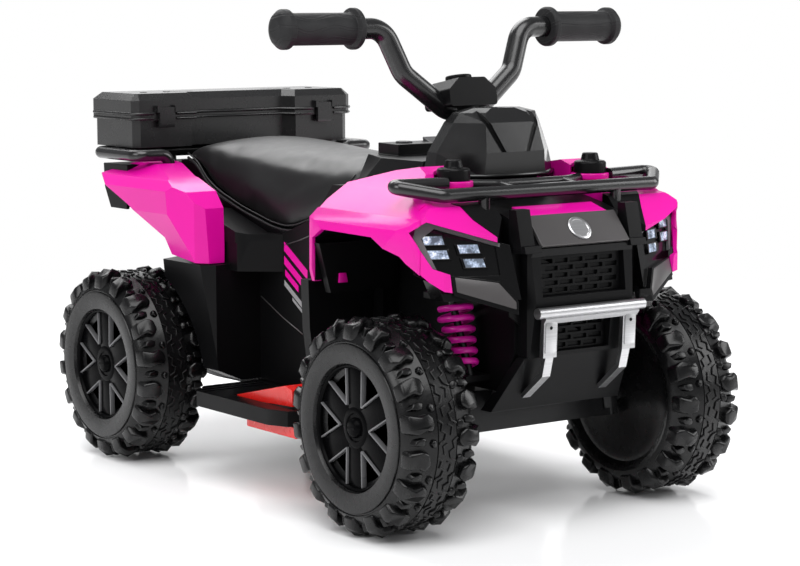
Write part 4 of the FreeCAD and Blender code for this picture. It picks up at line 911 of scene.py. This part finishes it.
class QUAD_OT_tubes(Operator):
    """Dress the handlebar with its grips, clamp and horn, and the racks with their knobs and collars"""

    bl_idname = "quad.tubes"
    bl_label = "Tubes and knobs"

    def execute(self, context):
        for node in ("handlebar", "front_rack", "rear_rack"):
            softened(node, FINISHES["tube"], 0.0002, segments=1, degrees=60)
        softened("handlebar_clamp", FINISHES["black"], 0.0020, segments=3)
        softened("horn_button", FINISHES["black"], 0.0006)
        softened("grips", FINISHES["grip"], 0.0006, degrees=35)
        softened("rack_knobs", FINISHES["black"], 0.0010)
        softened("rack_collars", FINISHES["fender"], 0.0020, segments=3)
        return {"FINISHED"}


# Saddle

def swell(pad):
    """Inflate the pad as cloth, holding how far each point may move."""
    start = [vertex.co.copy() for vertex in pad.data.vertices]
    take(pad)
    cloth = pad.modifiers.new("cloth", "CLOTH")
    cloth.settings.use_pressure = True
    cloth.settings.uniform_pressure_force = 4.0
    cloth.settings.effector_weights.gravity = 0.0
    cloth.collision_settings.use_collision = False
    scene = bpy.context.scene
    for step in range(1, 21):
        scene.frame_set(step)
    bpy.ops.object.modifier_apply(modifier=cloth.name)
    scene.frame_set(1)
    cap = shape().pad_cap
    for vertex, before in zip(pad.data.vertices, start):
        move = vertex.co - before
        if move.length > cap:
            vertex.co = before + move * (cap / move.length)


def saddle_line(lift, out):
    """The saddle's lower edge on the left, from the dash to the tail, raised by a lift and moved out."""
    edge = [
        (60, -44, 334), (75, -8, 294), (83, 20, 280), (86, 48, 273), (88, 72, 274), (90, 100, 280),
        (92, 158, 295), (92, 208, 314), (91, 236, 334), (88, 262, 343),
    ]
    return [Vector(((x + out) * MM, y * MM, (z + lift) * MM)) for x, y, z in edge]


class QUAD_OT_saddle(Operator):
    """Inflate the saddle from its solid and sew its edge with piping, whose lighter grey is partly a
    painted highlight
    """

    bl_idname = "quad.saddle"
    bl_label = "Saddle"

    def execute(self, context):
        pad = node_copy("seat", "saddle")
        low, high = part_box("seat")
        middle = (low + high) / 2
        away = Matrix.Translation(-middle)
        shrink = Matrix.Diagonal((0.975, 0.992, 0.985, 1))
        pad.data.transform(Matrix.Translation(middle) @ shrink @ away)
        modify(pad, "REMESH", mode="VOXEL", voxel_size=shape().pad_voxel)
        modify(pad, "SMOOTH", factor=0.5, iterations=4)
        swell(pad)
        modify(pad, "SMOOTH", factor=0.5, iterations=10)
        modify(pad, "SUBSURF", levels=1, render_levels=1)
        smooth(pad, 180)
        dress(pad, FINISHES["saddle"], "chassis", "seat")
        beads = []
        # Two real beads along the lower edge, dressed lighter than the saddle so they also paint its edge
        # highlight
        for lift, out, radius in ((1.5, 0.2, shape().piping), (7.0, 0.6, shape().piping * 0.55)):
            beads.append(piped("saddle_bead", saddle_line(lift, out), radius))
        piping = dress_pair("saddle_piping", beads, FINISHES["piping"])
        return {"FINISHED"}


# Storage box, footboards, pedal

class QUAD_OT_box(Operator):
    """Ease the edges of the storage box, its lid and latches, and run beads along the seam"""

    bl_idname = "quad.box"
    bl_label = "Storage box"

    def execute(self, context):
        # The case finish paints sheen into the box's black tone
        case = FINISHES["case"]
        softened("box_tub", case, 0.0018, segments=3)
        softened("box_lid", case, 0.0018, segments=3)
        for side in ("left", "right"):
            softened("latch_" + side, case, 0.0007)
        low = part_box("box_lid")[0]
        end = [(155.2, 368), (155.2, 279.3), (147.1, 273.2), (128, 273.2)]
        front = [(97, 273.2), (70.9, 273.2), (62.9, 291.2), (-62.9, 291.2), (-70.9, 273.2), (-97, 273.2)]
        runs = [end, front, [(-x, y) for x, y in end]]
        for label, body, lift, radius in (("lid_lip", "lid", 2.6, 2.0), ("box_lip", "chassis", -3.4, 1.5)):
            beads = []
            for run in runs:
                spots = [Vector((x * MM, y * MM, low.z + lift * MM)) for x, y in run]
                beads.append(piped(label, spots, radius * MM, straight=True))
            dress(joined(label, beads), case, body)
        return {"FINISHED"}


class QUAD_OT_footboards(Operator):
    """Dress the footboards, the pedal and its housing"""

    bl_idname = "quad.footboards"
    bl_label = "Footboards and pedal"

    def execute(self, context):
        for side in ("left", "right"):
            softened("footboard_" + side, FINISHES["black"], 0.0012)
        softened("accelerator_pedal", FINISHES["red"], 0.0022, segments=3)
        softened("pedal_housing", FINISHES["red"], 0.0015)
        return {"FINISHED"}


# Stripes, seams with painted highlights, and small fixings

def side_bar(y0, z0, y1, z1, deep):
    """A slanted bar on the flat of the body's left side."""
    wall = 0.0918
    corners = [(y0, z0), (y1, z1), (y1, z1 - deep), (y0, z0 - deep)]
    return side_plate("bar", wall, corners, 0.0007)


class QUAD_OT_stripes(Operator):
    """Lay slanted bars and raised seams on the body sides, the seams dressed in a lighter grey that paints
    their highlights
    """

    bl_idname = "quad.stripes"
    bl_label = "Stripes and seams"

    def execute(self, context):
        pink = [(50, 262, 4, 234, 10), (50, 246, 12, 222.5, 9), (48, 231, 22, 215, 7)]
        grey = [(50, 219, 6, 192, 6), (34, 201, 4, 182.5, 3.5)]
        for label, bars, tone in (("side_bars_pink", pink, "fender"), ("side_bars_grey", grey, "stripe")):
            pieces = [side_bar(*bar) for bar in bars]
            dress_pair(label, pieces, FINISHES[tone])
        # Thin raised beads along the crease and the seat seam, in the hood plate's lighter grey: painted
        # highlight lines on the black body side
        crease = [(92.0, 99, 196), (92.0, 53.4, 176), (92.0, 14, 162)]
        seam = [(92.0, 50, 258), (92.0, 20, 266), (92.0, -20, 279)]
        lines = []
        for line in (crease, seam):
            lines.append(piped("seam", [Vector(p) * MM for p in line], 0.0007, straight=True))
        dress_pair("body_seams", lines, FINISHES["plate"])
        return {"FINISHED"}


def add_disc():
    """A plain disc on the slope of the hood."""
    lean = Vector((0, -0.761, 0.648))
    centre = nose_point(0, -93.4, 192.9)
    across = Vector((1, 0, 0))
    section = [(0.2, 0), (0.2, 0.9), (9.6, 0.9), (10.4, 1.6), (12.6, 1.6), (13.4, 1.0), (13.4, 0)]
    rim = [centre + across * r * MM + lean * h * MM for r, h in section]
    dress(smooth(turned("hood_disc", rim, centre, lean, 48)), FINISHES["silver"], "chassis")


def add_upright_trim():
    """A plate with a screw on each upright of the bumper."""
    front = [(45, -111.6, 105), (58.5, -111.6, 105), (58.5, -110.4, 74), (45, -110.4, 74)]
    plate = nose_block("plate", front, (0, -1.6, 0), edge=0.5)
    dress_pair("upright_plates", [plate], FINISHES["silver"])
    section = [(0.1, 0), (0.1, 0.5), (1.5, 0.5), (1.8, 0)]
    spot = nose_point(52, -113.1, 99)
    head = [spot + Vector((r, -h, 0)) * MM for r, h in section]
    screw = smooth(turned("screw", head, spot, (0, 1, 0), 20))
    dress_pair("upright_screws", [screw], FINISHES["black"])


def add_shoulders():
    """A black cover over the inner front corner of each front fender."""
    shoulder = node_copy("front_fender_left", "shoulder")
    edge = nose_point(97, -84, 0)
    trimmed(shoulder, [(edge, Vector((0.86, -0.51, 0))), (nose_point(0, -42, 0), Vector((0, 1, 0)))])
    modify(shoulder, "SOLIDIFY", thickness=0.0009, offset=1.0)
    dress_pair("hood_shoulders", [smooth(shoulder, 30)], FINISHES["black"])


def add_tabs():
    """A small pink tab inside each front arch."""
    face = [(144, 240), (155, 240), (154, 250), (146, 250)]
    wall = -0.1463
    tab = extruded("tab", [Vector((x * MM, wall, z * MM)) for x, z in face], (0, -0.003, 0))
    dress_pair("liner_tabs", [rounded(tab, 0.0006)], FINISHES["fender"])


def add_lid_pads():
    """Four low round pads on top of the lid."""
    low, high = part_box("box_lid")
    section = [(0.2, -0.6), (0.2, 0.5), (4.2, 0.5), (4.8, -0.6)]
    pads = []
    for x in (-0.118, -0.086, 0.086, 0.118):
        place = Vector((x, (low.y + high.y) / 2 - 0.008, high.z))
        disc = [place + Vector((r * MM, 0, h * MM)) for r, h in section]
        pads.append(smooth(turned("lid_pad", disc, place, (0, 0, 1), 24)))
    dress(joined("lid_pads", pads), FINISHES["black"], "lid")


class QUAD_OT_fixings(Operator):
    """Add the plain disc, upright plates, screws, shoulder covers, tabs and lid pads"""

    bl_idname = "quad.fixings"
    bl_label = "Small fixings"

    def execute(self, context):
        add_disc()
        add_upright_trim()
        add_shoulders()
        add_tabs()
        add_lid_pads()
        return {"FINISHED"}


class QUAD_OT_running_gear(Operator):
    """Give the axles, linkage and drive their paint, steel and housings"""

    bl_idname = "quad.running_gear"
    bl_label = "Running gear"

    def execute(self, context):
        for node in ("front_axle_beam", "knuckle_left", "knuckle_right", "tie_bar", "rear_subframe"):
            dress_node(node, FINISHES["tube"])
        for node in ("steering_column", "rear_axle"):
            dress_node(node, FINISHES["steel"])
        for node in ("gearbox", "drive_motor", "battery", "charge_socket"):
            dress_node(node, FINISHES["housing"])
        return {"FINISHED"}


# Stage

CAMERA_PLACE = (-1.49555, -2.09851, 0.53058)
CAMERA_HEADING = math.radians(36.03)
CAMERA_DIP = math.radians(7.01)
CAMERA_ROLL = math.radians(-0.13)

# Each soft box: its place, where it aims, its side and its power
SOFT_BOXES = (
    ((0.3, 1.5, 2.2), (0.0, 0.1, 0.3), 1.8, 42.0),
    ((1.9, 2.4, 0.9), (0.0, 0.1, 0.3), 2.2, 16.0),
    ((2.4, -1.6, 1.3), (0.1, -0.2, 0.2), 1.6, 34.0),
    ((-2.6, -0.4, 1.7), (0.0, 0.0, 0.25), 1.4, 26.0),
)


def floor_white():
    """White floor: matt with a weak blurred mirror, running out into plain white."""
    material = bpy.data.materials.new("floor_white")
    material.use_nodes = True
    tree = material.node_tree
    tree.nodes.remove(tree.nodes["Principled BSDF"])
    matt = tree.nodes.new("ShaderNodeBsdfDiffuse")
    matt.inputs["Color"].default_value = (0.93, 0.93, 0.935, 1)
    mirror = tree.nodes.new("ShaderNodeBsdfAnisotropic")
    mirror.inputs["Color"].default_value = (1, 1, 1, 1)
    mirror.inputs["Roughness"].default_value = 0.12
    blend = tree.nodes.new("ShaderNodeMixShader")
    blend.inputs["Fac"].default_value = 0.14
    tree.links.new(matt.outputs["BSDF"], blend.inputs[1])
    tree.links.new(mirror.outputs["BSDF"], blend.inputs[2])
    glow = tree.nodes.new("ShaderNodeEmission")
    place = tree.nodes.new("ShaderNodeTexCoord")
    far = tree.nodes.new("ShaderNodeVectorMath")
    far.operation = "LENGTH"
    tree.links.new(place.outputs["Object"], far.inputs[0])
    fade = tree.nodes.new("ShaderNodeMapRange")
    fade.interpolation_type = "SMOOTHSTEP"
    fade.inputs["From Min"].default_value = 0.7
    fade.inputs["From Max"].default_value = 1.9
    tree.links.new(far.outputs["Value"], fade.inputs["Value"])
    reach = tree.nodes.new("ShaderNodeMixShader")
    tree.links.new(fade.outputs["Result"], reach.inputs["Fac"])
    tree.links.new(blend.outputs["Shader"], reach.inputs[1])
    tree.links.new(glow.outputs["Emission"], reach.inputs[2])
    tree.links.new(reach.outputs["Shader"], tree.nodes["Material Output"].inputs["Surface"])
    return material


def lay_floor():
    clear_selection()
    bpy.ops.mesh.primitive_plane_add(size=60.0, location=(0, 0, -0.0004))
    floor = bpy.context.active_object
    floor.name = "floor"
    floor.data.materials.append(floor_white())


def light_room(scene, strength):
    """Soft light from all round, with plain white where the camera looks past the floor."""
    world = bpy.data.worlds.new("studio")
    scene.world = world
    world.use_nodes = True
    tree = world.node_tree
    room = tree.nodes["Background"]
    room.inputs["Color"].default_value = (0.97, 0.98, 1.0, 1)
    room.inputs["Strength"].default_value = strength
    paper = tree.nodes.new("ShaderNodeBackground")
    paper.inputs["Color"].default_value = (1, 1, 1, 1)
    seen = tree.nodes.new("ShaderNodeLightPath")
    choose = tree.nodes.new("ShaderNodeMixShader")
    tree.links.new(seen.outputs["Is Camera Ray"], choose.inputs["Fac"])
    tree.links.new(room.outputs["Background"], choose.inputs[1])
    tree.links.new(paper.outputs["Background"], choose.inputs[2])
    tree.links.new(choose.outputs["Shader"], tree.nodes["World Output"].inputs["Surface"])


def hang_lights(strength):
    """A broad sun overhead and the soft boxes round the part."""
    lean = (math.radians(24), math.radians(-14), 0)
    bpy.ops.object.light_add(type="SUN", location=(-1, -1, 4), rotation=lean)
    sun = bpy.context.active_object.data
    sun.energy = strength
    sun.angle = math.radians(50)
    for place, aim, size, power in SOFT_BOXES:
        bpy.ops.object.light_add(type="AREA", location=place)
        lamp = bpy.context.active_object
        lamp.data.size = size
        lamp.data.energy = power
        lamp.rotation_euler = (Vector(aim) - Vector(place)).to_track_quat("-Z", "Y").to_euler()


def place_camera(scene, lens):
    bpy.ops.object.camera_add(location=CAMERA_PLACE)
    camera = bpy.context.active_object
    level = Vector((math.sin(CAMERA_HEADING), math.cos(CAMERA_HEADING), 0)) * math.cos(CAMERA_DIP)
    way = level - Vector((0, 0, math.sin(CAMERA_DIP)))
    roll = Matrix.Rotation(CAMERA_ROLL, 3, "Z")
    camera.rotation_euler = (way.to_track_quat("-Z", "Y").to_matrix() @ roll).to_euler()
    camera.data.sensor_fit = "HORIZONTAL"
    camera.data.sensor_width = 36.0
    camera.data.lens = lens
    camera.data.clip_end = 100.0
    scene.camera = camera


class QUAD_OT_stage(Operator):
    """Set the floor, the studio light and the camera"""

    bl_idname = "quad.stage"
    bl_label = "Stage"

    def execute(self, context):
        scene = context.scene
        settings = scene.quad_stage
        lay_floor()
        light_room(scene, settings.fill)
        hang_lights(settings.sun)
        place_camera(scene, settings.lens)
        scene.view_settings.view_transform = "Standard"
        return {"FINISHED"}


# Panel and registration

STEPS = (
    QUAD_OT_tyres, QUAD_OT_covers, QUAD_OT_fenders, QUAD_OT_panels, QUAD_OT_lamps, QUAD_OT_front_metal,
    QUAD_OT_tubes, QUAD_OT_saddle, QUAD_OT_box, QUAD_OT_footboards, QUAD_OT_stripes, QUAD_OT_fixings,
    QUAD_OT_running_gear, QUAD_OT_stage,
)


class QUAD_PT_looks(Panel):
    """Steps that dress the quad bike"""

    bl_label = "Quad bike looks"
    bl_idname = "QUAD_PT_looks"
    bl_space_type = "VIEW_3D"
    bl_region_type = "UI"
    bl_category = "Quad"

    def draw(self, context):
        for step in STEPS:
            self.layout.operator(step.bl_idname)


GROUPS = (("quad_finish", QuadFinish), ("quad_shape", QuadShape), ("quad_stage", QuadStage))


def register():
    for name, group in GROUPS:
        bpy.utils.register_class(group)
        setattr(bpy.types.Scene, name, PointerProperty(type=group))
    for step in STEPS:
        bpy.utils.register_class(step)
    bpy.utils.register_class(QUAD_PT_looks)


def unregister():
    bpy.utils.unregister_class(QUAD_PT_looks)
    for step in reversed(STEPS):
        bpy.utils.unregister_class(step)
    for name, group in reversed(GROUPS):
        delattr(bpy.types.Scene, name)
        bpy.utils.unregister_class(group)


def main():
    register()
    make_finishes()
    bpy.ops.quad.tyres()
    bpy.ops.quad.covers()
    bpy.ops.quad.fenders()
    bpy.ops.quad.panels()
    bpy.ops.quad.lamps()
    bpy.ops.quad.front_metal()
    bpy.ops.quad.tubes()
    bpy.ops.quad.saddle()
    bpy.ops.quad.box()
    bpy.ops.quad.footboards()
    bpy.ops.quad.stripes()
    bpy.ops.quad.fixings()
    bpy.ops.quad.running_gear()
    bpy.ops.quad.stage()


if __name__ == "__main__":
    main()
